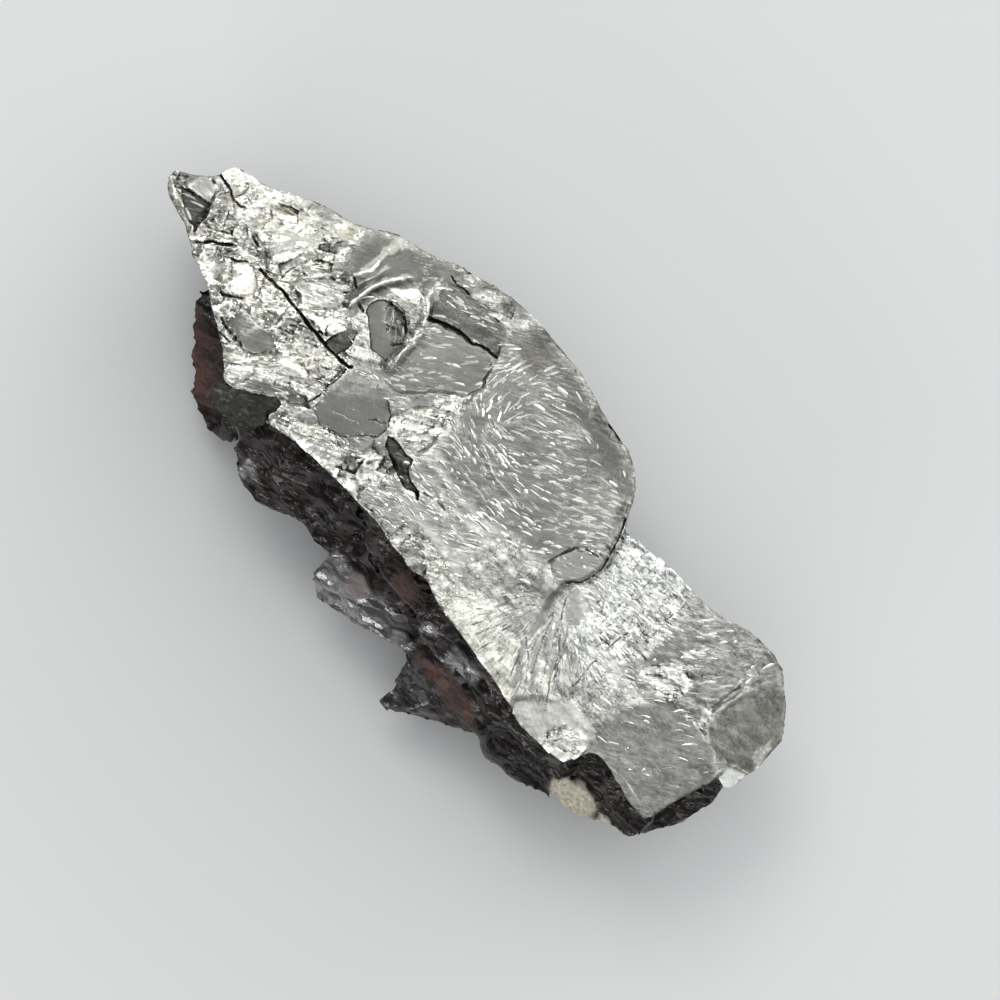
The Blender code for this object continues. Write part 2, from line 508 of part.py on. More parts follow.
def make_trunk(cutters):
    """The main body: the silvery face's outline, its relief and its leaning walls."""
    outline = with_short_runs(FLANK_EDGE + RIM_EDGE, WALL_STEP)
    trunk = prism("trunk", outline, BELOW, ABOVE, cutters)
    cut_levels(trunk, WALL_LEVELS)
    (start_x, start_y), (end_x, end_y) = SPINE

    def middle(x, y):
        along = np.clip(x, start_x, end_x)
        return along, start_y + (along - start_x) * (end_y - start_y) / (end_x - start_x)

    def lean_at(x, y, depth):
        rim_share = np.clip((y - 0.5) / 2.0, 0.0, 1.0)
        lean = profile(RIM_LEAN, depth) * rim_share + profile(FLANK_LEAN, depth) * (1 - rim_share)
        bulge = np.clip((BULGE_END - np.abs(x)) / BULGE_FADE, 0.0, 1.0)
        return np.where(lean < 0.0, lean * bulge, lean)

    lean_walls(trunk, broad_form, lean_at, middle)
    apply_modifier(trunk, "REMESH", mode="VOXEL", voxel_size=SKIN_CELL)
    clip_to_reliefs(trunk, face_height, under_height)
    return trunk


def make_ledge(ledge, cutters):
    """A ledge of the flank, which reaches into the main body."""
    outline = with_short_runs(ledge.outline, WALL_STEP)
    height = ledge_height(ledge)
    solid = prism(ledge.name, outline, BELOW, ABOVE, cutters)
    cut_levels(solid, WALL_LEVELS)
    middle_x = sum(x for x, _ in ledge.outline) / len(ledge.outline)
    root_y = max(y for _, y in ledge.outline)

    def middle(x, y):
        return x * 0.5 + middle_x * 0.5, np.full_like(y, root_y)

    def lean_at(x, y, depth):
        return profile(LEDGE_LEAN, depth) * np.clip((root_y - y) / 3.0, 0.0, 1.0)

    def foot(x, y):
        return np.maximum(under_height(x, y), ledge.foot)

    lean_walls(solid, height, lean_at, middle)
    apply_modifier(solid, "REMESH", mode="VOXEL", voxel_size=SKIN_CELL)
    clip_to_reliefs(solid, height, foot)
    return solid


def scallop_sides(stone):
    """Break the stone's sides and underside into shell-like hollows."""
    places = read_places(stone)
    normals = np.empty(places.size)
    stone.data.vertex_normals.foreach_get("vector", normals)
    normals = normals.reshape(-1, 3)
    under_face = face_height(places[:, 0], places[:, 1]) - places[:, 2]
    share = np.clip((under_face - 0.5) / 1.2, 0.0, 1.0) * np.clip(1.15 - normals[:, 2] * 1.6, 0.0, 1.0)
    share *= np.clip((places[:, 2] - 0.3) / 1.2, 0.0, 1.0)
    share *= np.clip((SCALLOP_END - np.abs(places[:, 0])) / SCALLOP_FADE, 0.25, 1.0)
    for size, depth, seed in SCALLOP_LAYERS:
        hollow = np.clip(1.0 - 1.6 * scallops(places, size, seed), 0.0, 1.0)
        places = places - normals * (share * depth * hollow)[:, None]
    stone.data.vertices.foreach_set("co", places.ravel())


def join(name, pieces, collection):
    """Put the faces of several pieces into one new object and drop the pieces."""
    shape = bmesh.new()
    for piece in pieces:
        shape.from_mesh(piece.data)
    mesh = bpy.data.meshes.new(name)
    shape.to_mesh(mesh)
    shape.free()
    for piece in pieces:
        bpy.data.objects.remove(piece)
    return into_collection(bpy.data.objects.new(name, mesh), collection)


def apply_modifier(target, kind, **settings):
    """Apply one modifier to the target's mesh."""
    modifier = target.modifiers.new(kind.lower(), kind)
    for setting, value in settings.items():
        setattr(modifier, setting, value)
    bpy.context.view_layer.update()
    evaluated = target.evaluated_get(bpy.context.evaluated_depsgraph_get())
    result = bpy.data.meshes.new_from_object(evaluated)
    target.modifiers.remove(modifier)
    spent = target.data
    target.data = result
    bpy.data.meshes.remove(spent)
    result.name = target.name
    shape = bmesh.new()
    shape.from_mesh(result)
    bmesh.ops.triangulate(shape, faces=shape.faces, quad_method="SHORT_EDGE", ngon_method="EAR_CLIP")
    shape.to_mesh(result)
    shape.free()


def flatten_base(stone, level, cutters):
    """Take off what lies below a level, which leaves a true flat."""
    shape = bmesh.new()
    place = Matrix.Translation((0.0, 0.0, level - BLOCK_SIZE / 2))
    bmesh.ops.create_cube(shape, size=BLOCK_SIZE, matrix=place)
    mesh = bpy.data.meshes.new("base_block")
    shape.to_mesh(mesh)
    shape.free()
    combine(stone, "DIFFERENCE", into_collection(bpy.data.objects.new("base_block", mesh), cutters))


def keep_largest_body(stone):
    """Drop the crumbs and closed bubbles, and keep the stone itself."""
    shape = bmesh.new()
    shape.from_mesh(stone.data)
    waiting = set(shape.faces)
    largest = set()
    while waiting:
        body = {waiting.pop()}
        front = list(body)
        while front:
            near = {face for edge in front.pop().edges for face in edge.link_faces} - body
            body |= near
            front += near
        waiting -= body
        largest = max(largest, body, key=len)
    crumbs = [face for face in shape.faces if face not in largest]
    bmesh.ops.delete(shape, geom=crumbs, context="FACES")
    shape.to_mesh(stone.data)
    shape.free()


def make_material():
    """The silvery grey of a fresh break."""
    material = bpy.data.materials.new("shungite_silver")
    material.use_nodes = True
    shader = material.node_tree.nodes["Principled BSDF"]
    shader.inputs["Base Color"].default_value = FACE_COLOUR
    shader.inputs["Roughness"].default_value = FACE_ROUGHNESS
    shader.inputs["Metallic"].default_value = FACE_METALLIC
    material.diffuse_color = FACE_COLOUR
    return material


def main():
    """Build the stone."""
    for item in list(bpy.data.objects):
        bpy.data.objects.remove(item)
    parts = bpy.data.collections.new("shungite_specimen")
    cutters = bpy.data.collections.new("shungite_cutters")
    bpy.context.scene.collection.children.link(parts)
    bpy.context.scene.collection.children.link(cutters)

    pieces = [make_trunk(cutters)] + [make_ledge(ledge, cutters) for ledge in LEDGES]
    stone = join("shungite", pieces, parts)
    apply_modifier(stone, "REMESH", mode="VOXEL", voxel_size=SKIN_CELL)
    scallop_sides(stone)
    apply_modifier(stone, "REMESH", mode="VOXEL", voxel_size=SKIN_CELL)
    keep_largest_body(stone)
    apply_modifier(stone, "DECIMATE", ratio=TRIANGLES / len(stone.data.polygons))
    flatten_base(stone, BASE_TRIM, cutters)
    stone.data.transform(Matrix.Translation((0, 0, -BASE_TRIM)))
    stone.data.transform(Matrix.Scale(TO_METRES, 4))
    stone.data.materials.clear()
    stone.data.materials.append(make_material())
    for cutter in cutters.objects:
        cutter.hide_render = True
        cutter.display_type = "WIRE"


main()
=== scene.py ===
"""The finished look of a hand specimen of noble shungite, lying on a pale floor.

The stone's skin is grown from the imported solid: a fine mesh takes the solid's form, the silvery
face gets its facets, chips, cracks and ridges, and the flank its scallops and lines. Small
hackles and crumbs are set on it by Geometry Nodes. Every table is in millimetres in the stone's
own frame: X from the pointed end to the broad end, Y from the dark flank to the thin rim.
"""

import logging
import math
from dataclasses import dataclass, field
from enum import Enum
from typing import Any, Iterable, Sequence

import bmesh
import bpy
import numpy as np
from mathutils import Matrix, Vector


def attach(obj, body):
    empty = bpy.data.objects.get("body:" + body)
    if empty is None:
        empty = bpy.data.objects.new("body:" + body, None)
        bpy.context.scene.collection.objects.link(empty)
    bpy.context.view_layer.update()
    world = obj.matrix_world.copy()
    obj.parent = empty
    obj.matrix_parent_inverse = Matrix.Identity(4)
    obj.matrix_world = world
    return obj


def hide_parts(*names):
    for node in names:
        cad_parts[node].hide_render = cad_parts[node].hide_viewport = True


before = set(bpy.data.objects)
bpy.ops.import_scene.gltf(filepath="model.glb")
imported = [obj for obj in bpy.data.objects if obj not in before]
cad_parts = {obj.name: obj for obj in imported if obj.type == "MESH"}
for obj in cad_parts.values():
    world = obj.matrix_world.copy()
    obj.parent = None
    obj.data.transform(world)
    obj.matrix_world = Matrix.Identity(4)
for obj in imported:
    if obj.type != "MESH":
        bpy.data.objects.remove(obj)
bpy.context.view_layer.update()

LOG = logging.getLogger("shungite")
MM = 0.001
NODE = "shungite"
Path = Sequence[tuple[float, float]]
Array = np.ndarray
Object = bpy.types.Object
Material = bpy.types.Material
Socket = bpy.types.NodeSocket
Span = tuple[float, float]
Triple = tuple[float, float, float]
Colour = tuple[float, float, float, float]
Inputs = dict[int | str, Any]


# ---------------- number fields

HASH = (127.1, 311.7, 74.7, 43758.5453)     # mixes a place and a seed into a random number
HASH_LAYERS = (17.0, 13.0)                  # how far each layer of cells is shifted


def lattice(column: Array, row: Array, seed: int) -> Array:
    """Return a fixed random number for each whole-number place.

    Args:
        column: whole numbers along the first axis.
        row: whole numbers along the second axis.
        seed: which set of random numbers.

    Returns:
        A number from -1 to 1 for each place.
    """
    by_column, by_row, by_seed, scale = HASH
    mixed = np.sin(column * by_column + row * by_row + seed * by_seed) * scale
    return (mixed - np.floor(mixed)) * 2.0 - 1.0


def lumps(x: Array, y: Array, size: float, seed: int) -> Array:
    """Return smooth lumps.

    Args:
        x: places along the first axis, in mm.
        y: places along the second axis, in mm.
        size: how far apart the lumps are, in mm.
        seed: which set of lumps.

    Returns:
        The height of the lumps at each place, from -1 to 1.
    """
    u, v = x / size, y / size
    column, row = np.floor(u), np.floor(v)
    s, t = u - column, v - row
    s, t = s * s * (3 - 2 * s), t * t * (3 - 2 * t)
    low = lattice(column, row, seed) * (1 - s) + lattice(column + 1, row, seed) * s
    high = lattice(column, row + 1, seed) * (1 - s) + lattice(column + 1, row + 1, seed) * s
    return low * (1 - t) + high * t


@dataclass(frozen=True)
class Wave:
    """Smooth lumps of one kind: how far they reach and their size in mm, and which set."""

    reach: float
    size: float
    seed: int

    def at(self, x: Array, y: Array) -> Array:
        """Return the lumps' height at each place, in mm."""
        return self.reach * lumps(x, y, self.size, self.seed)


def scallops(places: Array, size: float, seed: int, stretch: Triple) -> Array:
    """Return shell-like hollows in space: 0 in their middles, rising to sharp ridges between.

    Args:
        places: x, y, z of each place, in mm.
        size: how far apart the hollows are, in mm.
        seed: which set of hollows.
        stretch: how much the three axes are squeezed before the hollows are laid out.

    Returns:
        The squared distance to the nearest middle, in hollow sizes.
    """
    stray = 0.45
    scaled = places * np.array(stretch) / size
    corner = np.floor(scaled)
    nearest = np.full(len(places), np.inf)
    for step in np.ndindex(3, 3, 3):
        cell = corner + np.array(step) - 1.0
        column = cell[:, 0] + HASH_LAYERS[0] * cell[:, 2]
        row = cell[:, 1] - HASH_LAYERS[1] * cell[:, 2]
        shift = np.stack([lattice(column, row, seed + k) for k in range(3)], axis=1)
        away = np.sum((cell + 0.5 + stray * shift - scaled) ** 2, axis=1)
        nearest = np.minimum(nearest, away)
    return nearest


def chips(x: Array, y: Array, size: float, seed: int, lean: float) -> tuple[Array, Array]:
    """Return hollow chips with sharp ridges between, each leaning its own way.

    Args:
        x: places along the first axis, in mm.
        y: places along the second axis, in mm.
        size: how far apart the chips are, in mm.
        seed: which set of chips.
        lean: the steepest lean of a chip, as a slope.

    Returns:
        The height at each place in mm, and its chip's tone, -1 to 1, with painted shade by lean.
    """
    stray, hollow, step, own_shade, painted_lean_shade = 0.42, 0.32, 0.05, 0.6, 0.4
    u, v = x / size, y / size
    corner_u, corner_v = np.floor(u), np.floor(v)
    lowest = np.full(np.shape(x), np.inf)
    shade = np.zeros(np.shape(x))
    for step_u, step_v in np.ndindex(3, 3):
        column, row = corner_u + step_u - 1, corner_v + step_v - 1
        own = [lattice(column, row, seed + k) for k in range(6)]
        away_u = u - column - 0.5 - stray * own[0]
        away_v = v - row - 0.5 - stray * own[1]
        rise = lean * (away_u * own[2] + away_v * own[3])
        rise = rise + hollow * (away_u ** 2 + away_v ** 2) + step * own[4]
        # Each chip's tone: a random part, plus painted shade by which way the chip leans across.
        shade = np.where(rise < lowest, own_shade * own[5] - painted_lean_shade * own[3], shade)
        lowest = np.minimum(lowest, rise)
    return lowest * size, shade


def distance_to_path(x: Array, y: Array, path: Path) -> Array:
    """Return how far each place is from a path of straight runs.

    Args:
        x: places along, in mm.
        y: places across, in mm.
        path: the corners of the path.

    Returns:
        The distance from each place, in mm.
    """
    nearest = np.full(np.shape(x), np.inf)
    for (ax, ay), (bx, by) in zip(path, path[1:]):
        length = (bx - ax) ** 2 + (by - ay) ** 2 + 1e-12
        share = np.clip(((x - ax) * (bx - ax) + (y - ay) * (by - ay)) / length, 0.0, 1.0)
        away = np.hypot(x - ax - share * (bx - ax), y - ay - share * (by - ay))
        nearest = np.minimum(nearest, away)
    return nearest


def closed(outline: Path) -> Path:
    """Return an outline with its first corner repeated at its end."""
    return list(outline) + [outline[0]]


def inside(x: Array, y: Array, outline: Path) -> Array:
    """Tell which places lie inside a closed outline.

    Args:
        x: places along, in mm.
        y: places across, in mm.
        outline: the corners of the outline.

    Returns:
        True for each place that lies inside.
    """
    within = np.zeros(np.shape(x), dtype=bool)
    corners = closed(outline)
    for (ax, ay), (bx, by) in zip(corners, corners[1:]):
        if ay != by:
            spans = (ay > y) != (by > y)
            within ^= spans & (x < ax + (y - ay) * (bx - ax) / (by - ay))
    return within


def depth_inside(x: Array, y: Array, outline: Path) -> Array:
    """Return how deep each place lies inside a closed outline, in mm; outside is negative."""
    away = distance_to_path(x, y, closed(outline))
    return np.where(inside(x, y, outline), away, -away)


def ramp(values: Array, low: float, high: float) -> Array:
    """Return a smooth step from 0 at low to 1 at high."""
    share = np.clip((values - low) / (high - low), 0.0, 1.0)
    return share * share * (3.0 - 2.0 * share)


class BentPlate:
    """The thin plate bent through marked heights."""

    def __init__(self, marks: Sequence[Triple]) -> None:
        """Solve for the plate.

        Args:
            marks: x, y and height of each mark, in mm.
        """
        table = np.array(marks)
        self.places = table[:, :2]
        count = len(table)
        flat = np.column_stack((np.ones(count), self.places))
        between = np.linalg.norm(self.places[:, None] - self.places[None], axis=2)
        system = np.zeros((count + 3, count + 3))
        system[:count, :count] = self.bend(between)
        system[:count, count:] = flat
        system[count:, :count] = flat.T
        solved = np.linalg.solve(system, np.append(table[:, 2], np.zeros(3)))
        self.weights, self.plane = solved[:count], solved[count:]

    @staticmethod
    def bend(distance: Array) -> Array:
        """Return the plate's answer to a push at a distance."""
        return distance ** 2 * np.log(distance + 1e-9)

    def height(self, x: Array, y: Array) -> Array:
        """Return the plate's height.

        Args:
            x: places along, in mm.
            y: places across, in mm.

        Returns:
            The height at each place, in mm.
        """
        away = np.hypot(x[:, None] - self.places[:, 0], y[:, None] - self.places[:, 1])
        level, rise_x, rise_y = self.plane
        return self.bend(away) @ self.weights + level + rise_x * x + rise_y * y


# ---------------- tables of the face


@dataclass(frozen=True)
class Dress:
    """How a stretch of the face looks, each value from 0 to 1.

    tone is how bright the metal is, polish how smooth, grain how crumbly, streak how thickly the
    fine ridges lie, craze how finely it is crazed, and warm how yellow its tint.
    """

    tone: float = 0.5
    polish: float = 0.5
    grain: float = 0.2
    streak: float = 0.4
    craze: float = 0.0
    warm: float = 0.5


@dataclass(frozen=True)
class Field:
    """A stretch of the face with a soft border, feather mm wide, and a dress of its own."""

    outline: Path
    dress: Dress
    feather: float = 1.0


@dataclass(frozen=True)
class Facet:
    """A flat chip: its outline, its dress, and where it is cut.

    sink is how far its middle lies below the face in mm, tilt how steep it is in degrees, and
    toward the way that it falls, in degrees from +X. soft is its border's width in mm. A dress of
    None leaves the look as it is, and a sink of NO_CUT leaves the form as it is.
    """

    outline: Path
    dress: Dress | None
    sink: float
    tilt: float
    toward: float
    soft: float = 0.06


@dataclass(frozen=True)
class Crack:
    """An open crack: its path, half its width and its depth, in mm."""

    path: Path
    half_width: float
    depth: float


@dataclass(frozen=True)
class Rib:
    """A raised rib: the path of its crest, its height and half its width, in mm."""

    path: Path
    rise: float
    half_width: float

    def height(self, x: Array, y: Array) -> Array:
        """Return the rib's height at each place, in mm."""
        return self.rise * np.exp(-(distance_to_path(x, y, self.path) / self.half_width) ** 2)


@dataclass(frozen=True)
class ChipSet:
    """One size of chips on the crumbly stretches.

    size is how far apart they lie in mm, length how many times longer than wide they are, lean
    their steepest slope, rise how high they stand, shade how much their tone, with painted shade
    by lean, tells in the brightness, stray_along and stray_across how far they wander, and seed
    which set they are.
    """

    size: float
    length: float
    lean: float
    rise: float
    shade: float
    stray_along: float
    stray_across: float
    seed: int

    def laid(self, along: Array, across: Array, stray: Array) -> tuple[Array, Array]:
        """Lay the chips out.

        Args:
            along: places along the chips, in mm.
            across: places across them, in mm.
            stray: how far the chips wander at each place, in mm.

        Returns:
            The height at each place in mm, and its chip's tone, with painted shade by its lean.
        """
        u = along / self.length + self.stray_along * stray
        v = across + self.stray_across * stray
        height, shade = chips(u, v, self.size, self.seed, self.lean)
        return height * self.rise, self.shade * shade


LARGE_CHIPS = ChipSet(1.5, 1.7, 0.5, 0.6, 0.45, 1.0, 1.0, 81)
MIDDLE_CHIPS = ChipSet(0.6, 1.6, 0.75, 0.65, 0.45, 1.0, 0.5, 91)
SMALL_CHIPS = ChipSet(0.26, 1.4, 0.7, 0.3, 0.3, 0.0, 0.3, 97)
NO_CUT = -1.0

# The silvery face's outline: the edge above the flank, then the thin rim back to the point.
FACE_OUTLINE = (
    (-25.3, 1.1), (-24.9, 0.4), (-24.4, 0), (-23.3, -0.3), (-22, -0.6), (-21.3, -1), (-20.6, -1.5),
    (-19.5, -1.75), (-18.4, -2), (-17.6, -2.5), (-17, -2.85), (-16.2, -3.2), (-15.3, -3.7),
    (-14.7, -4.1), (-13.6, -4.9), (-13.9, -5.4), (-13.8, -6.3), (-13.3, -6.7), (-12.4, -6.4),
    (-11.6, -6.6), (-10.9, -6.4), (-10.3, -5.9), (-9.9, -5.2), (-9.6, -4.75), (-8, -4.4),
    (-5.5, -4.2), (-3.8, -3.9), (-0.5, -4), (0.8, -4.2), (1.4, -4.05), (2.2, -4.4), (3.4, -4.05),
    (4.8, -4.6), (8, -4.85), (10.9, -5.1), (13.4, -5.75), (15.5, -5.55), (17, -5.45), (17.5, -4.5),
    (17.75, -3.6), (18.6, -3.5), (20, -3.65), (21.8, -4), (23.05, -3.9), (23.2, -2.6),
    (23.4, -1.2), (23.8, 0), (24.05, 1.05), (24.5, 0.95), (25.05, 0.75), (25.25, 1.6), (25.3, 2.7),
    (25.3, 4.5), (25.2, 5.5), (24.6, 6.2), (23.9, 7.1), (23.3, 7.5), (22.5, 7.9), (21.9, 8.5),
    (21.1, 8.7), (19.3, 8.6), (18.2, 8.4), (17.3, 8.1), (16.4, 7.9), (15.1, 7.8), (13, 7.7),
    (11.6, 7.6), (10.6, 7.4), (9.1, 7.1), (8.7, 7.8), (8.2, 8.7), (7.5, 9.5), (6.7, 10.1),
    (5.9, 10.4), (3.8, 10.7), (1.6, 11.2), (0.6, 11.4), (-1.5, 11.5), (-3.5, 11.6), (-5.6, 11.3),
    (-6.7, 11.1), (-8.4, 10.5), (-9.3, 10.3), (-10.1, 9.8), (-11.7, 9.2), (-13.5, 8.6),
    (-14.8, 7.6), (-15.7, 7.2), (-16.9, 7), (-17.8, 6.7), (-18.9, 6), (-20.1, 5.4), (-20.7, 4.9),
    (-22.5, 4.5), (-23.1, 4.2), (-23.4, 3.6), (-23.2, 3), (-23.7, 2.4), (-24.3, 1.7), (-24.9, 1.6),
)

# Heights of the face: x, y, z. A thin plate bent through them is its broad form.
FACE_HEIGHTS = (
    (-25.2, 1.1, 8.8), (-23.2, 3.8, 8.4), (-22, 0, 10.4), (-20, 4.6, 8.9), (-20, -1.4, 11.4),
    (-18, 5.8, 8.6), (-18, 1.5, 11.4), (-16, -3, 12.5), (-16, 2, 12), (-16, 6.3, 9.2),
    (-14, -4.4, 13.1), (-14, 0, 12.9), (-13.2, 8.3, 9.3), (-12.6, 6.9, 11.2), (-12, 3.5, 12.2),
    (-10.2, 9.4, 9.6), (-10.6, 7, 11.6), (-11.6, -6.2, 12.9), (-10, -4.4, 13.6), (-9, 1, 13.3),
    (-6, -4, 13.9), (-6, 0, 13.7), (-6, 5, 12.6), (-6, 9.3, 10.7), (-6, 11, 9.2), (-2, -3.8, 14),
    (-2, 3, 13.5), (-2, 8, 12), (-2, 11.2, 9.6), (3, -4.1, 14.1), (3, 1, 14), (3, 6, 13),
    (3, 9.4, 11.5), (3, 10.7, 9.9), (8, -4.7, 14), (8, 0, 13.9), (8, 5, 13.1), (7.6, 9, 10.6),
    (12, -5.2, 13.7), (12, 0, 13.5), (12, 4.5, 12.7), (12, 7.4, 11.6), (16, -5.4, 13.2),
    (16, 0, 13.3), (17, 7.9, 11.2), (20, -3.6, 12.8), (20, 2, 12.9), (21, 8.5, 10.3),
    (23.2, -2, 12.3), (23, 4, 11.9), (25, 1.5, 10.8), (25.1, 4, 10.2), (24, 6.8, 9.9),
)

RIBS = (
    Rib(((-12.9, 8.9), (-12.8, 7.2), (-12.6, 6), (-13.1, 5)), 0.5, 0.4),
    Rib(((-10.6, 7.6), (-11.4, 6.4), (-11.8, 5.2), (-11.9, 3.8)), 0.5, 0.35),
    Rib(((-9.4, 8.9), (-9.2, 7.4), (-8, 6.4), (-7.6, 4.6), (-7.6, 3)), 0.3, 0.4),
    Rib(((-14.4, -3.6), (-13, -2.2), (-11.2, -1.3), (-9.6, -1)), 0.25, 0.4),
    Rib(((-0.1, 3.9), (0.9, 3.5), (1.9, 3.15), (3.4, 3.2), (4.6, 3.4)), 0.07, 0.22),
    Rib(((-2.2, 0.8), (0, 0.85), (1.4, 0.6), (2.6, 0.8), (4, 0.9)), 0.08, 0.25),
    Rib(((-2, -0.1), (0.2, 0.1), (1.8, 0), (3.6, 0.2)), 0.06, 0.22),
    Rib(((-1.6, 2.2), (0.4, 1.9), (2.2, 1.8), (4.4, 2.2)), 0.05, 0.22),
    Rib(((16.1, 4.4), (17.5, 4.7), (18.9, 5.5)), 0.18, 0.4),
    Rib(((16.8, 3.9), (17.6, 4), (18.5, 4.3)), 0.12, 0.25),
    Rib(((15.6, 5.6), (17, 6.1), (18.4, 7.2)), 0.12, 0.35),
    Rib(((15.2, 6.6), (16.4, 7.2), (17.2, 7.9)), 0.12, 0.35),
    Rib(((20.7, 3.8), (21.1, 5), (21.6, 6.6), (22, 7.7)), 0.08, 0.2),
    Rib(((-25, 0.7), (-24, 0.35), (-22.6, 0.1), (-21.6, -0.3)), 0.3, 0.25),
    Rib(((-0.8, 5), (-0.2, 5.9), (0.5, 6.8)), 0.06, 0.16),
    Rib(((0, 8.2), (2, 8.8)), 0.09, 0.2),
    Rib(((0.3, 7.1), (2, 8.2)), 0.09, 0.2),
    Rib(((-2, 11.2), (-0.4, 11.25), (0.9, 11.15), (2.4, 10.7)), 0.2, 0.3),
    Rib(((-14, -5.2), (-12.5, -4.45), (-11.5, -3.85), (-10.6, -3.15)), 0.16, 0.22),
    Rib(((-8.2, 9.15), (-8.7, 8.9), (-8.9, 8.2)), 0.1, 0.16),
    Rib(((-15, 6.9), (-14.6, 5.6), (-14.9, 4.4)), 0.22, 0.3),
    Rib(((-21, 3.4), (-19.4, 3.9), (-17.6, 5)), 0.16, 0.3),
)

# The direction of the fine ridges, in degrees from +X, at marked places: x, y, direction.
FLOW_MARKS = (
    (-23, 2, 20), (-20, 3.2, 22), (-18, 5.2, 32), (-19, 0, 40), (-16, -1.6, 12), (-16, 3.2, 62),
    (-13.2, 2.8, 27), (-15, 5.4, 48), (-12.6, 7.2, 86), (-11.2, 5.6, 72), (-10, 7.2, 45),
    (-9.2, 4, -35), (-12.2, -2.8, 43), (-10, -4, 30), (-7, -0.5, 22), (-5.5, 5.4, 45),
    (-7, 8.4, 20), (-5, 10.2, 24), (-2.2, 10, 80), (-1.2, 7.2, 88), (-3.4, 2.2, 55),
    (-1.6, 4.4, -28), (1, 3.6, -14), (3.2, 3, 6), (2, 5.6, 34), (1, 8.4, 28), (1.6, 10.7, -12),
    (5.4, 9.6, -32), (5, 7.4, 36), (7.6, 6, 38), (6.4, 3.6, 34), (0, 0.8, 3), (3.2, 0.8, 8),
    (-2.6, -3, 13), (1.4, -2.4, 14), (4.4, -2, 22), (6.4, -3.6, 38), (8.4, -3, 78),
    (11, -2.4, -62), (13.4, -2.6, -48), (11.4, 4.6, 4), (13.4, 2, 2), (14.2, 5.8, 14),
    (17.4, 6.2, 42), (17.4, 3, 36), (19.8, 5.4, 48), (21.4, 6, 74), (20.4, -0.6, 38),
    (16.4, -4, 10), (23.6, 5, 60),
)

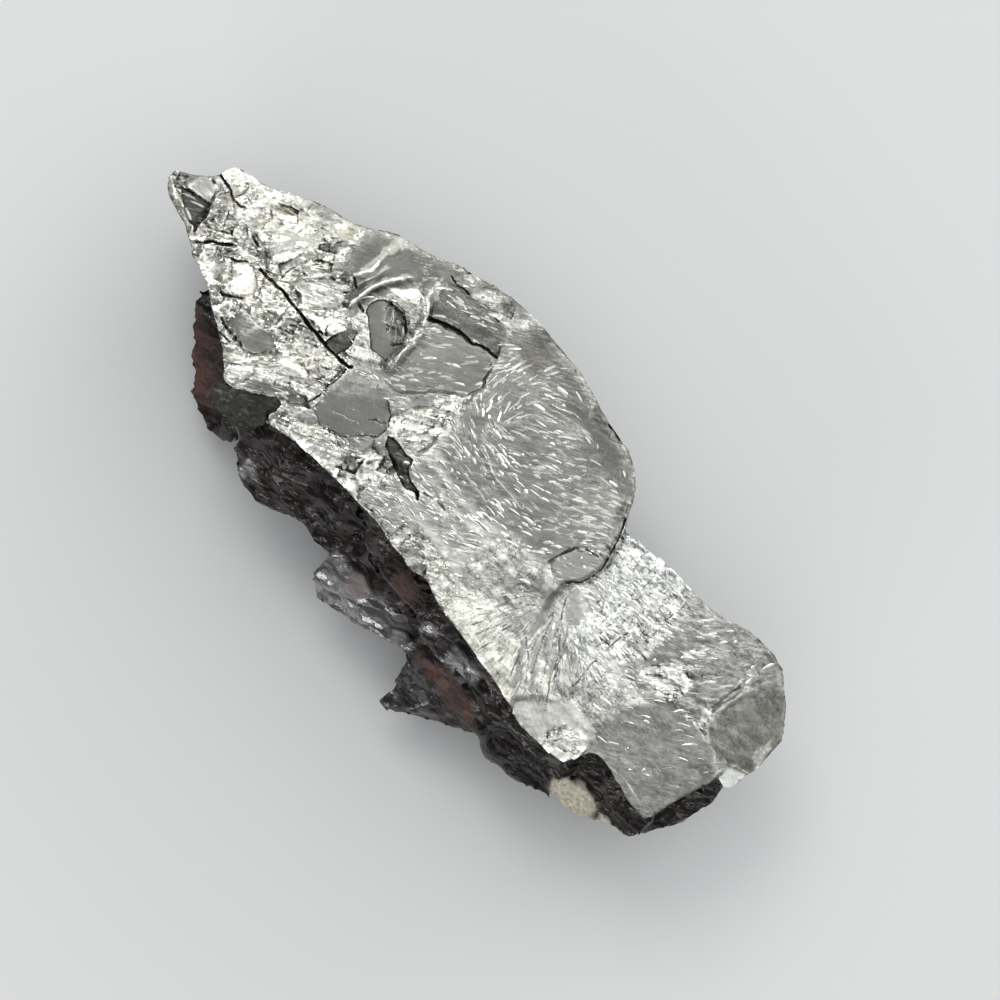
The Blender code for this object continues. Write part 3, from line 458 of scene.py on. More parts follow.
KNOBBY = Dress(tone=0.59, polish=0.6, grain=1.0, streak=0.5, warm=0.85)
LOBE = Dress(tone=0.19, polish=0.55, grain=0.08, streak=0.8, warm=0.45)
FIELDS = {
    "knobby_half": Field(((-26, -3), (-14, -8), (-8.6, -5.5), (-8.6, 3), (-9, 12.5), (-26, 9)),
        KNOBBY, 1.6),
    "middle_lobe": Field(((-9, -2), (-6, -2.6), (9, 0.6), (10.2, 4), (8.6, 12.5), (-9, 12.5)),
        LOBE, 1.4),
    "bright_shoulder": Field(((-23.8, 4.6), (-23.4, 3.2), (-19.5, 3), (-14.6, 3.2), (-14.2, 8.6),
        (-19, 7.6)), Dress(0.9, 0.6, 1, 0.4, 0, 0.9), 1.2),
    "bowls": Field(((-13.6, 9.6), (-9.2, 10.2), (-8.2, 9.4), (-7.4, 6.4), (-7.6, 3), (-9, 1.6),
        (-11.4, 3.2), (-12.6, 3.6), (-13.8, 6)), Dress(0.28, 0.6, 0.35, 0.45, 0, 0.7), 0.8),
    "flank_strip": Field(((-10, -5.5), (4, -5.5), (5.5, -2.6), (-2, -1.9), (-10, -2.6)),
        Dress(0.5, 0.5, 0.75, 0.6, 0.15, 0.7), 0.9),
    "ripples": Field(((-2.6, -1.2), (5, -0.8), (5.6, 1.6), (-2.2, 1.5)),
        Dress(0.38, 0.5, 0.25, 1, 0.1, 0.45), 0.8),
    "crazed_half": Field(((3.6, -6), (18.2, -6.2), (17.4, 1.5), (9.8, 2.2), (4.6, 1.4)),
        Dress(0.54, 0.55, 0.15, 0.45, 0.75, 0.55), 1.5),
    "warm_fan": Field(((4.6, -5.4), (13.2, -6), (13, -2.6), (9, -1.6), (5.4, -2.2)),
        Dress(0.82, 0.55, 0.2, 0.5, 0.35, 1), 1.2),
    "hatched": Field(((9.4, 1), (12, -0.4), (14.4, -1), (15.4, 1.4), (16, 8.4), (9, 8.2)),
        Dress(0.7, 0.55, 0.2, 0.7, 1, 0.1), 0.9),
    "swept": Field(((15.2, 0.8), (21, 2.2), (22.4, 9.4), (15.6, 9)),
        Dress(0.28, 0.5, 0.3, 1, 0.4, 0.3), 0.9),
    "grain_low": Field(((-5, -3.6), (-2, -3.4), (-2.2, -0.9), (-4.9, -0.8)),
        Dress(0.66, 0.5, 0.95, 0.3, 0, 0.6), 0.6),
    "grain_high": Field(((-6, 0.7), (-4.4, 0.3), (-2.2, 0.8), (-2.3, 3.6), (-3.4, 4.2), (-5, 2.8)),
        Dress(0.6, 0.5, 0.9, 0.3, 0, 0.6), 0.6),
    "grain_tail": Field(((-3.9, 4.9), (-3.4, 5.9), (-2.8, 6.4), (-2.6, 5.2), (-3.2, 3.6)),
        Dress(0.75, 0.5, 0.9, 0.3, 0, 0.7), 0.3),
    "rim_bright": Field(((-1, 12.2), (-0.6, 10.6), (3.5, 9.9), (6.2, 9.3), (7.6, 8), (9.2, 7.2),
        (9, 12.2)), Dress(0.34, 0.5, 0.6, 0.9, 0.1, 0.5), 0.5),
    "rim_left": Field(((-9.2, 12), (-9, 9.6), (-4.2, 9.3), (-3.2, 12.2)),
        Dress(0.38, 0.5, 0.7, 0.5, 0, 0.6), 0.5),
    "rim_blur": Field(((-19, 6), (-15.7, 6.2), (-15.5, 7.6), (-19, 7.4)),
        Dress(0.6, 0.3, 0.6, 0.2, 0, 0.6), 0.5),
    "bowl_rim": Field(((-14, 9), (-9, 11), (-8, 10.4), (-9.4, 9.7), (-11.8, 8.75), (-13.6, 7.9)),
        Dress(0.55, 0.5, 0.7, 0.4, 0, 0.7), 0.4),
    "pink_hollow": Field(((-11, 4.9), (-10.3, 5), (-9.6, 4.5), (-8.4, 3.9), (-7.9, 3.8),
        (-7.8, 2.9), (-8.9, 2.9), (-9.6, 3.2), (-10.9, 4.1)), Dress(0.17, 0.45, 0.05, 0.1, 0, 1),
        0.15),
    "corrugated": Field(((-10.5, 5.9), (-9, 5.9), (-8.2, 5.2), (-7.8, 4.4), (-8.4, 3.9),
        (-9.2, 4.3), (-10.3, 5.1)), Dress(0.09, 0.5, 0.8, 0.8, 0, 0.6), 0.12),
    "smooth_band": Field(((-11.8, 8.5), (-11.3, 8), (-11.5, 7.2), (-11.9, 6.3), (-11.9, 5.3),
        (-12.1, 4.4), (-12.6, 4.6), (-12.4, 6.2), (-12.4, 7.2), (-12.1, 8.1)),
        Dress(0.28, 0.5, 0.03, 0.1, 0, 0.6), 0.1),
    "ridge_glint": Field(((-13.2, 8.5), (-12.5, 9.1), (-11.8, 9), (-12.3, 8.3), (-12.5, 7),
        (-12.5, 6), (-12.9, 5.1), (-13.1, 5.6), (-12.9, 6.7), (-13, 7.8)),
        Dress(0.7, 0.6, 0.2, 0.2, 0, 0.9), 0.1),
    "second_glint": Field(((-11, 7.4), (-10.6, 7.5), (-11.2, 6.3), (-11.6, 5.2), (-11.7, 3.7),
        (-12, 3.8), (-11.9, 5.3), (-11.6, 6.3)), Dress(0.7, 0.6, 0.2, 0.2, 0, 0.7), 0.08),
    "sweep_band": Field(((-14.7, -3.9), (-13, -2.6), (-12.2, -1.2), (-10.5, -1), (-9.6, -1.9),
        (-11.2, -2.4), (-12.6, -3.9), (-13.6, -4.8)), Dress(0.75, 0.6, 0.4, 1, 0, 0.8), 0.3),
    "purple_strip": Field(((-3.2, -3.6), (0, -3.8), (0, -2.6), (-1.6, -2.3), (-3.2, -2.5)),
        Dress(0.26, 0.5, 0.15, 1, 0, 0.1), 0.2),
    "rim_hollow": Field(((-3.3, 11), (-0.9, 11), (-0.8, 10.2), (-1, 9.1), (-2, 8.9), (-3, 9.3)),
        Dress(0.12, 0.45, 0.08, 0.2, 0, 0.9), 0.5),
    "fan_shade": Field(((8, 0.9), (9.4, 2), (11, 2.6), (11.2, 0.6), (10.2, -1.6), (9.2, -3),
        (8.6, -1.4)), Dress(0.5, 0.5, 0.15, 0.5, 0.6, 0.4), 0.5),
    "streak_ground": Field(((-15.3, 1.7), (-14.6, 3), (-12.9, 4.3), (-12, 3.6), (-12.4, 2.5),
        (-13.6, 1.7)), Dress(0.36, 0.6, 0.3, 0.8, 0, 0.6), 0.3),
    "bar_root": Field(((8.75, 1.2), (9.3, 1.25), (9.8, 0.1), (10.1, -0.6), (10, -1.5), (9.6, -1.5),
        (9.5, -0.5), (9, 0.4)), Dress(0.26, 0.5, 0.05, 0.4, 0.2, 0.5), 0.12),
    "bar_head": Field(((9.8, 2.3), (10.8, 2.2), (11.5, 1.3), (11.7, 0.8), (10.4, 0.9), (9.8, 1.6)),
        Dress(0.33, 0.6, 0.05, 0.3, 0.2, 0.4), 0.15),
    "bar_1": Field(((10.2, 0.6), (10.5, 0.6), (11, -0.7), (12.1, -1.9), (11.8, -2), (10.6, -0.8)),
        Dress(0.36, 0.5, 0.05, 0.5, 0.1, 0.4), 0.06),
    "bar_2": Field(((11, 0.7), (11.3, 0.7), (12, -0.6), (12.8, -2), (12.5, -2.1), (11.6, -0.8)),
        Dress(0.38, 0.5, 0.05, 0.5, 0.1, 0.4), 0.06),
    "bar_3": Field(((9.7, -1.8), (10, -1.8), (11, -3), (12, -4.2), (11.6, -4.2), (10.4, -3)),
        Dress(0.35, 0.5, 0.05, 0.5, 0.1, 0.6), 0.06),
    "bar_4": Field(((10.6, -1.6), (10.9, -1.6), (11.9, -2.8), (12.9, -3.8), (12.6, -3.9),
        (11.5, -2.9)), Dress(0.36, 0.5, 0.05, 0.5, 0.1, 0.5), 0.06),
    "edge_comb": Field(((22.7, 1.4), (23.7, 1.6), (23.3, -2.4), (22.8, -2.2)),
        Dress(0.7, 0.5, 0.6, 0.8, 0, 0.5), 0.2),
}

FACETS = {
    "tip_hollow": Facet(((-24, 0.75), (-22.9, 1.25), (-22.1, 1.5), (-21.3, -0.3), (-22.4, 0.1),
        (-23.5, 0.5)), Dress(0.06, 0.6, 0.3, 0.6, 0, 0.3), 0.8, 12, 60),
    "tip_shoulder": Facet(((-24.2, 1.1), (-23.7, 2.6), (-22.4, 2.4), (-22.1, 1.5), (-22.9, 1.25)),
        Dress(0.34, 0.6, 0.05, 0.2, 0, 0.7), 0.15, 22, 110, 0.3),
    "pale_chip": Facet(((-18.1, 0.6), (-17.5, 0.75), (-16.9, 0.6), (-16.3, 0.1), (-16.1, -0.3),
        (-16.5, -0.8), (-17.3, -0.9), (-17.9, -0.4), (-18.5, 0.1)),
        Dress(0.74, 0.5, 0.4, 0.1, 0, 1), 0.05, 12, 90),
    "left_pad": Facet(((-16, -1.3), (-14.2, -1.1), (-13.1, -1.1), (-12.7, -1.5), (-13.2, -2.3),
        (-14.1, -2.85), (-15.2, -2.55), (-15.9, -2.6)), Dress(0.21, 0.6, 0.08, 0.25, 0, 0.8), 0.08,
        4, -60, 0.3),
    "groove": Facet(((-16.5, 2.2), (-16.2, 3.1), (-15.9, 4), (-15.3, 4), (-15.7, 3.2),
        (-15.8, 1.7)), Dress(0.32, 0.5, 0.1, 0.2, 0, 0.5), 0.25, 20, 170),
    "groove_side": Facet(((-17, 2), (-16.9, 2.9), (-16.1, 4.1), (-16.3, 2.9), (-16.6, 2)),
        Dress(0.85, 0.5, 0.2, 0.2, 0, 0.8), 0.1, 18, 60, 0.2),
    "step_band": Facet(((-13, -4.6), (-12.4, -3.6), (-11.3, -2.8), (-9.6, -2), (-8.9, -2.3),
        (-9.8, -2.9), (-11.2, -3.6), (-12.3, -4.4)), Dress(0.22, 0.5, 0.1, 0.6, 0, 0.2), 0.25, 14,
        -50, 0.25),
    "lip": Facet(((-14.5, -5.5), (-13.5, -5.2), (-12.4, -4.6), (-10.7, -3.3), (-10.1, -3.4),
        (-10, -4), (-10.4, -4.5), (-9.8, -5.2), (-10.4, -7.2), (-14.5, -7.2)),
        Dress(0.045, 0.5, 0.3, 0.3, 0, 0.8), 1.1, 20, -95),
    "white_triangle": Facet(((-13.4, 1.35), (-13, 1.7), (-12, 2.1), (-11.6, 1.3)),
        Dress(1, 0.6, 0.05, 0.1, 0, 0.7), 0.04, 15, 80),
    "brown_chip": Facet(((-11.2, 1.1), (-10.9, 2), (-10.7, 2.9), (-10.2, 2.9), (-10, 2),
        (-10.1, 1)), Dress(0.12, 0.45, 0.4, 0.4, 0, 1), 0.4, 10, -90),
    "hollow_floor": Facet(((-11, 4.9), (-10.4, 5.6), (-9.3, 5.7), (-8.4, 5), (-7.9, 4.2),
        (-7.8, 3), (-8.9, 2.9), (-9.6, 3.2), (-10.9, 4.1)), None, 0.7, 9, 62),
    "bright_pair": Facet(((-9.5, 7.4), (-10.1, 7), (-11.2, 5.9), (-10.3, 6.1), (-9.4, 6.7)),
        Dress(1, 0.6, 0.1, 0.1, 0, 0.6), 0.08, 18, 60),
    "worn_pad": Facet(((-9, 1.2), (-8.4, 1.3), (-7.5, 1.55), (-6.5, 1.5), (-5.6, 1.3), (-5.1, 0.9),
        (-4.9, 0.5), (-4.95, -0.5), (-5.4, -1.1), (-6, -1.6), (-6.6, -2), (-7.8, -2.5),
        (-8.8, -2.1)), Dress(0.16, 0.6, 0.06, 0.15, 0, 0.4), 0.14, 3, 60, 0.1),
    "pan": Facet(((-7.5, 6), (-7.7, 6.75), (-7.1, 7.1), (-6.6, 7.35), (-5.9, 7.5), (-5.3, 7.45),
        (-4.9, 7.75), (-4.3, 7.95), (-3.7, 7.9), (-3.3, 7.2), (-2.8, 6.1), (-3.2, 5), (-3.9, 4.5),
        (-4.5, 4.1), (-5.1, 3.3), (-5.9, 2.5), (-6.8, 2.1), (-7.1, 3.2), (-7.3, 4.8)),
        Dress(0.19, 0.42, 0.06, 0.6, 0, 0.85), 0.12, 12.5, 85, 0.3),
    "dark_pad": Facet(((-8.85, 8.3), (-8.7, 9.3), (-7, 9.6), (-5.2, 9.65), (-4.4, 9.5), (-4.1, 9),
        (-3.6, 8.15), (-4.3, 7.95), (-4.9, 7.75), (-5.3, 7.45), (-5.9, 7.5), (-6.6, 7.35),
        (-7.1, 7.1), (-7.6, 6.9), (-8.1, 6.6), (-8.7, 7.5)), Dress(0.1, 0.6, 0.3, 0.6, 0, 0.7),
        0.1, 17, 95, 0.25),
    "slot": Facet(((-4.6, 0.1), (-3.9, 0.25), (-3.1, 0.15), (-2.45, 0.35), (-2.35, -0.15),
        (-1.6, -0.65), (-0.4, -1.12), (-1.6, -1.15), (-2.9, -0.75), (-4.2, -0.4)),
        Dress(0.09, 0.5, 0.5, 0.3, 0, 0.9), 0.6, 12, -95),
    "oval_chip": Facet(((7.6, 2.3), (7.75, 3), (8, 3.8), (8.6, 4.3), (9.2, 4.6), (9.75, 4.5),
        (9.95, 4.1), (9.9, 3.5), (9.7, 2.9), (9.2, 2.1), (8.4, 2)),
        Dress(0.27, 0.5, 0.03, 0.6, 0, 0.5), 0.06, 8, 80, 0.12),
    "lower_lobe": Facet(((8.85, 7.3), (9.4, 6.1), (9.8, 4.9), (10, 4.2), (9.9, 3.2), (9.2, 2.1),
        (9.4, 0), (14.5, -1), (17, 2.4), (20.6, 3.6), (21.2, 9.6), (8.85, 9.6)), None, 0.55, 16.5,
        84, 0.6),
    "pale_patch": Facet(((12.6, -4.4), (13.6, -3.3), (14.5, -2.6), (15.4, -2.3), (16.3, -2.2),
        (16.9, -2.8), (17.75, -3.7), (17.6, -6.6), (13.4, -6.6), (12.2, -4.8)),
        Dress(0.58, 0.75, 0.2, 0.15, 0.08, 0.6), 0.02, 4, -60, 0.5),
    "patch_spark": Facet(((15.6, -3.4), (16.6, -3), (17.7, -3.8), (17.5, -5.6), (15.4, -5.6),
        (15, -4.6)), Dress(0.85, 0.5, 0.9, 0.2, 0.1, 0.5), NO_CUT, 0, 0, 0.5),
    "bright_chip": Facet(((16.2, 1.5), (16.1, 2.1), (16.5, 3), (16.9, 3.6), (17.8, 3.9),
        (18.5, 3.8), (18.8, 3), (18.6, 2.3), (18, 1.6)), Dress(1, 0.5, 0.6, 1, 0.4, 0.1), 0.05, 15,
        90, 0.15),
    "smooth_flat": Facet(((18.9, 2.1), (19.9, 2.2), (21, 2.2), (22.5, 1.8), (23.4, 1.2),
        (24.2, -0.6), (23.8, -4.9), (17.8, -4.9), (17.5, -3.6), (17, -3), (16.8, -2), (17.2, -0.5),
        (17.9, 1.2)), Dress(0.28, 0.42, 0.15, 0.46, 0.3, 0.5), 0.12, 4.5, 10, 0.6),
    "end_flat": Facet(((22.2, 7.4), (23, 7.3), (24.8, 8.4), (26.5, 5.3), (26.5, 2.9), (24.3, 2.4),
        (23.6, 1.8), (22.3, 2), (21.6, 2.5), (21.2, 2.9), (21.1, 4.3), (21.3, 5.4), (22.2, 6.4)),
        Dress(0.27, 0.45, 0.3, 0.3, 0.4, 1), 0.3, 30, 35, 0.3),
    "cap_glint": Facet(((24.5, 4.9), (24.9, 4.6), (25.1, 3.6), (25.2, 3), (24.7, 3.3),
        (24.3, 3.9)), Dress(0.8, 0.5, 0.5, 0.3, 0, 0.3), NO_CUT, 0, 0, 0.2),
    "knob_glint": Facet(((20.1, 3.6), (20.7, 3.6), (21, 2.8), (21.3, 2.3), (20.5, 2.4), (20, 2.9)),
        Dress(0.8, 0.5, 0.8, 0.3, 0, 0.4), NO_CUT, 0, 0, 0.2),
    "end_chip": Facet(((23.9, 2.2), (26.5, 3), (26.5, 0.3), (24, 0.6)),
        Dress(0.8, 0.5, 0.1, 0.3, 0, 0.3), 0.7, 26, 30),
}

CRACKS = (
    Crack(((-17.1, 1.1), (-16.3, 1.12), (-15, 1.2), (-13.8, 1.12), (-12.5, 1.05), (-11, 0.95),
        (-9.9, 0.98), (-9, 1.2)), 0.085, 0.7),
    Crack(((-23.2, 3.15), (-22.4, 3), (-21.9, 2.9), (-21.3, 2.62), (-20.8, 2.8), (-20.4, 2.85)),
        0.07, 0.4),
    Crack(((-19.3, 0.75), (-20.2, 0.1), (-20.9, -0.7)), 0.09, 0.4),
    Crack(((-17.9, 0.75), (-18.3, 0.5), (-18.7, 0.2)), 0.07, 0.3),
    Crack(((-16.4, -0.8), (-17, -1.3), (-17.5, -1.6)), 0.07, 0.3),
    Crack(((-3.7, 8.1), (-4.3, 7.95), (-4.9, 7.75), (-5.3, 7.45), (-5.9, 7.5), (-6.6, 7.35),
        (-7.1, 7.1), (-7.6, 6.9), (-8, 6.6)), 0.075, 0.5),
    Crack(((-9.1, 9.35), (-8.4, 9.3), (-7.6, 9.45)), 0.05, 0.3),
    Crack(((8.8, 7.3), (9.3, 6.3), (9.45, 5.7), (9.8, 4.9), (10, 4.2), (9.92, 3.3), (9.6, 2.7),
        (9.2, 2.1)), 0.06, 0.4),
    Crack(((-21.9, 2.85), (-22.2, 2.1)), 0.05, 0.15),
    Crack(((-16.4, -2.6), (-15.8, -2.72)), 0.07, 0.25),
    Crack(((-15.8, -3.3), (-15, -3.15)), 0.06, 0.25),
    Crack(((-14.9, -0.3), (-14.3, 0)), 0.06, 0.25),
    Crack(((-9.1, 0.9), (-9, 0.2), (-9.15, -0.5), (-9, -1.2), (-9.1, -2.1)), 0.045, 0.2),
    Crack(((-6, -0.1), (-5.7, 0.2), (-5.4, 0.25), (-5.1, 0.5)), 0.04, 0.1),
    Crack(((-0.5, -0.6), (0.1, -0.35), (1, -0.3)), 0.06, 0.2),
    Crack(((7.5, 2.2), (7.7, 3), (8, 3.9), (8.6, 4.4), (9.3, 4.62)), 0.055, 0.16),
    Crack(((3.9, 10.45), (5, 10.3)), 0.08, 0.3),
    Crack(((21.1, 2.2), (21.5, 2.3)), 0.07, 0.25),
    Crack(((-12.9, 4.95), (-12.4, 4.6)), 0.07, 0.3),
    Crack(((-11.5, 4.1), (-11, 4)), 0.07, 0.3),
    Crack(((-18.9, 2), (-18.2, 1.95)), 0.06, 0.2),
    Crack(((13.2, 4), (13.8, 3), (13.75, 1.4), (13.8, 0), (14, -1.8)), 0.035, 0.08),
    Crack(((9.8, 1.6), (10.5, 0.6), (11.4, -0.4), (12.3, -1.4), (13, -2.7), (14, -4)), 0.035,
        0.08),
    Crack(((11, 4), (11.5, 3.1), (11.9, 2.5), (12, 1.8)), 0.035, 0.08),
    Crack(((12.3, 5), (12.3, 4.2)), 0.035, 0.08),
    Crack(((10, 0.5), (10.3, -0.3), (10.7, -1.2), (11.9, -3.2)), 0.03, 0.06),
    Crack(((10.5, 0.5), (11.5, -1.3), (12.6, -3)), 0.03, 0.06),
    Crack(((11, 0.8), (12.1, -0.8), (13, -2.4)), 0.03, 0.06),
    Crack(((11.9, 0.8), (13, -0.3), (14, -1.5)), 0.03, 0.06),
    Crack(((9.7, -1.7), (11, -2.6), (12.2, -3.9)), 0.03, 0.06),
    Crack(((9.9, -2.2), (11.3, -3.8)), 0.03, 0.06),
    Crack(((12.4, 6.6), (12.5, 5.4), (12.38, 4.2), (12.3, 2.2)), 0.03, 0.06),
    Crack(((12.8, 3.6), (12.85, 1.6)), 0.03, 0.06),
    Crack(((15, 6.9), (14.9, 5), (15.1, 2.6)), 0.03, 0.06),
)

# Thin bright lines: each a path and half its width, in mm.
GLINTS = (
    (((-8.1, -1.5), (-7.2, -1.1), (-6.2, -0.7)), 0.04),
    (((-7.7, -0.65), (-6.6, -0.15)), 0.035),
    (((-8.6, 0.55), (-7.8, 0.9)), 0.03),
    (((-7.5, -1.9), (-6.6, -1.5)), 0.03),
    (((-6.9, 0.6), (-6.1, 0.85)), 0.03),
    (((-0.6, 4.3), (-0.1, 3.9), (0.9, 3.5), (1.9, 3.15), (3.4, 3.2), (4.6, 3.1)), 0.055),
    (((-2, 0.85), (0, 0.95), (1.4, 0.7), (2.6, 0.85), (4.2, 1)), 0.05),
    (((-1.8, 0), (0.2, 0.15), (1.8, 0.05), (3.6, 0.25)), 0.045),
    (((-1.4, 2.3), (0.4, 1.95), (2.2, 1.85), (4.4, 2.2)), 0.04),
    (((-1.1, 4.9), (-0.5, 4.5), (0.6, 4.1), (1.6, 3.9)), 0.04),
    (((-0.9, 6.2), (-0.8, 7.2), (-1, 8.3)), 0.05),
    (((-1.6, 5.6), (-1.5, 6.6), (-1.7, 7.5)), 0.045),
    (((0.6, 8.6), (1.6, 9.1), (2.6, 9.4)), 0.06),
    (((0.2, 7.7), (1.2, 8.2), (2, 8.4)), 0.05),
    (((-7, 5.6), (-6.6, 6)), 0.04),
    (((-6.3, 4.6), (-5.8, 5.1)), 0.04),
    (((-5.6, 5.5), (-5.1, 5.9)), 0.045),
    (((-4.9, 5.1), (-4.4, 5.5)), 0.05),
    (((-6, 6.4), (-5.6, 6.7)), 0.04),
    (((-4.4, 5.9), (-3.9, 6.2)), 0.045),
    (((-12.9, 8.7), (-12.7, 7.3), (-12.6, 6.1), (-12.9, 5.2)), 0.12),
    (((-10.8, 7.5), (-11.4, 6.3), (-11.8, 5.2), (-11.9, 4)), 0.12),
    (((-9.3, 8.7), (-9.1, 7.5), (-8.1, 6.6)), 0.08),
    (((-7.7, 6.2), (-7.75, 4.8), (-7.5, 3.4), (-7.2, 2.6)), 0.07),
    (((-14.2, -3.6), (-13, -2.5), (-11.5, -1.6)), 0.1),
    (((-13.9, -4.3), (-12.9, -3.4), (-12, -2.4)), 0.08),
    (((-14.9, 1.9), (-13.2, 2.9)), 0.1),
    (((-14, 1.7), (-12.6, 2.6)), 0.1),
    (((-14.4, 2.7), (-13.2, 3.5)), 0.09),
    (((-13.2, 3.3), (-12.4, 3.8)), 0.08),
    (((-14, -5.3), (-12.6, -4.5), (-11.5, -3.9)), 0.05),
    (((-24.9, 0.85), (-24.3, 0.45), (-22.8, 0.15), (-21.6, -0.3)), 0.12),
    (((16.2, 4.4), (17.5, 4.75), (18.8, 5.5)), 0.09),
    (((15.7, 5.7), (17, 6.2), (18.2, 7.1)), 0.07),
    (((22.6, 0.9), (23.3, 0.95)), 0.05),
    (((22.5, 0.3), (23.2, 0.35)), 0.06),
    (((22.6, -0.4), (23.2, -0.35)), 0.05),
    (((22.4, -1.1), (23, -1.05)), 0.06),
    (((18.6, -3.2), (20.4, -3.1), (22.4, -3.6)), 0.06),
    (((19, 2.2), (20.2, 2.3), (21.4, 2.1), (22.6, 1.9), (23.6, 1.4)), 0.09),
    (((20.4, -1.8), (22.9, -2.1)), 0.035),
    (((19.8, -1), (22.4, -1.4)), 0.03),
    (((20.8, 6.9), (20.9, 5.2), (20.7, 4)), 0.08),
)


# ---------------- the face's relief

# Lumps that move places: each pair moves them along the stone and across it.
RAGGED = ((Wave(0.14, 0.9, 71), Wave(0.06, 0.35, 72)), (Wave(0.14, 0.9, 73), Wave(0.06, 0.35, 74)))
LINE_SWAY = (Wave(0.07, 0.4, 75), Wave(0.07, 0.4, 76))
WIDE_SWAY = (Wave(0.6, 1.4, 41), Wave(0.6, 1.4, 42))
CLOSE_SWAY = (Wave(0.08, 0.18, 68), Wave(0.08, 0.18, 69))


def strayed(x: Array, y: Array) -> tuple[Array, Array]:
    """Return each place moved a little, so that straight outlines become ragged."""
    away_x, away_y = (wide.at(x, y) + close.at(x, y) for wide, close in RAGGED)
    return x + away_x, y + away_y


def swayed(x: Array, y: Array, sway: tuple[Wave, Wave]) -> tuple[Array, Array]:
    """Move each place by a pair of lumps, one for each axis."""
    return x + sway[0].at(x, y), y + sway[1].at(x, y)


@dataclass
class FaceRelief:
    """The silvery face as a height over X and Y, with its facets, ribs, chips and cracks.

    chip_turn is the direction that the chips are drawn out in, in degrees from +X, and
    large_grain how crumbly the face has to be for the large chips, from none to all of them.
    swell and furrows are the broad form's own lumps. ripple is the fine ridges' lumps, ripple_way
    the direction that they are drawn out in, ripple_squeeze how much narrower than long they
    are, ripple_least how high they always stand in mm and ripple_more what streak adds.
    """

    chip_turn: float = 28.0
    chip_sway: Wave = Wave(0.3, 0.9, 86)
    chip_sets: tuple[ChipSet, ...] = (LARGE_CHIPS, MIDDLE_CHIPS, SMALL_CHIPS)
    large_grain: Span = (0.3, 0.8)
    swell: Wave = Wave(0.07, 2.3, 5)
    swell_lean: float = 0.5
    furrows: Wave = Wave(0.03, 1.3, 6)
    furrow_squeeze: float = 2.0
    ripple: Wave = Wave(1.0, 0.75, 33)
    ripple_way: tuple[float, float] = (0.78, 0.62)
    ripple_squeeze: float = 2.4
    ripple_least: float = 0.008
    ripple_more: float = 0.022
    plate: BentPlate = field(default_factory=lambda: BentPlate(FACE_HEIGHTS))

    def level(self, place: tuple[float, float]) -> float:
        """Return the broad form's height at one place, in mm."""
        return float(self.plate.height(np.array([place[0]]), np.array([place[1]]))[0])

    def coarse(self, x: Array, y: Array) -> Array:
        """Return the face before its chips: the broad form and its ribs.

        Args:
            x: places along, in mm.
            y: places across, in mm.

        Returns:
            The height at each place, in mm.
        """
        height = self.plate.height(x, y)
        for rib in RIBS:
            height = height + rib.height(x, y)
        height = height + self.swell.at(x + self.swell_lean * y, y - self.swell_lean * x)
        return height + self.furrows.at(x, y * self.furrow_squeeze)

    def facet(self, facet: Facet, x: Array, y: Array) -> Array:
        """Return the plane that a facet is cut to.

        Args:
            facet: the facet.
            x: places along, in mm.
            y: places across, in mm.

        Returns:
            The plane's height at each place, in mm.
        """
        middle = np.mean(np.array(facet.outline), axis=0)
        start = self.level((middle[0], middle[1])) - facet.sink
        fall = math.tan(math.radians(facet.tilt))
        way = math.radians(facet.toward)
        return start - fall * ((x - middle[0]) * math.cos(way) + (y - middle[1]) * math.sin(way))

    def chipped(self, x: Array, y: Array) -> tuple[Array, Array, Array]:
        """Return the chips of a crumbly face.

        Args:
            x: places along, in mm.
            y: places across, in mm.

        Returns:
            The height of the large chips and of the small ones in mm, and the chips' tone from -1
            to 1, with painted shade by their lean.
        """
        turn = math.radians(self.chip_turn)
        along = x * math.cos(turn) + y * math.sin(turn)
        across = y * math.cos(turn) - x * math.sin(turn)
        stray = self.chip_sway.at(x, y)
        large, middle, small = (kind.laid(along, across, stray) for kind in self.chip_sets)
        return large[0], middle[0] + small[0], large[1] + middle[1] + small[1]

    def height(self, x: Array, y: Array, grain: Array, streak: Array) -> Array:
        """Return the finished face.

        Args:
            x: places along, in mm.
            y: places across, in mm.
            grain: how crumbly the face is at each place, from 0 to 1.
            streak: how thickly the fine ridges lie there, from 0 to 1.

        Returns:
            The height of the face at each place, in mm.
        """
        height = self.coarse(x, y)
        stray_x, stray_y = strayed(x, y)
        for facet in FACETS.values():
            deep = depth_inside(stray_x, stray_y, facet.outline)
            cut = np.minimum(self.facet(facet, x, y) - height, 0.0)
            height = height + cut * ramp(deep, -facet.soft / 2, facet.soft / 2)
        large, small, _ = self.chipped(x, y)
        height = height + grain * (large * ramp(grain, *self.large_grain) + small)
        way_x, way_y = self.ripple_way
        waves = self.ripple.at(x * way_x + y * way_y, (y * way_x - x * way_y) * self.ripple_squeeze)
        height = height + (self.ripple_least + self.ripple_more * streak) * waves
        return height - crack_depth(x, y)


def crack_depth(x: Array, y: Array) -> Array:
    """Return how deep the open cracks are.

    Args:
        x: places along, in mm.
        y: places across, in mm.

    Returns:
        The depth at each place, in mm.
    """
    open_width, wall = 1.25, 0.8
    stray_x, stray_y = swayed(x, y, LINE_SWAY)
    depth = np.zeros(np.shape(x))
    for crack in CRACKS:
        near = distance_to_path(stray_x, stray_y, crack.path) / (crack.half_width * open_width)
        depth = np.maximum(depth, crack.depth * np.clip(1.0 - near, 0.0, 1.0) ** wall)
    return depth


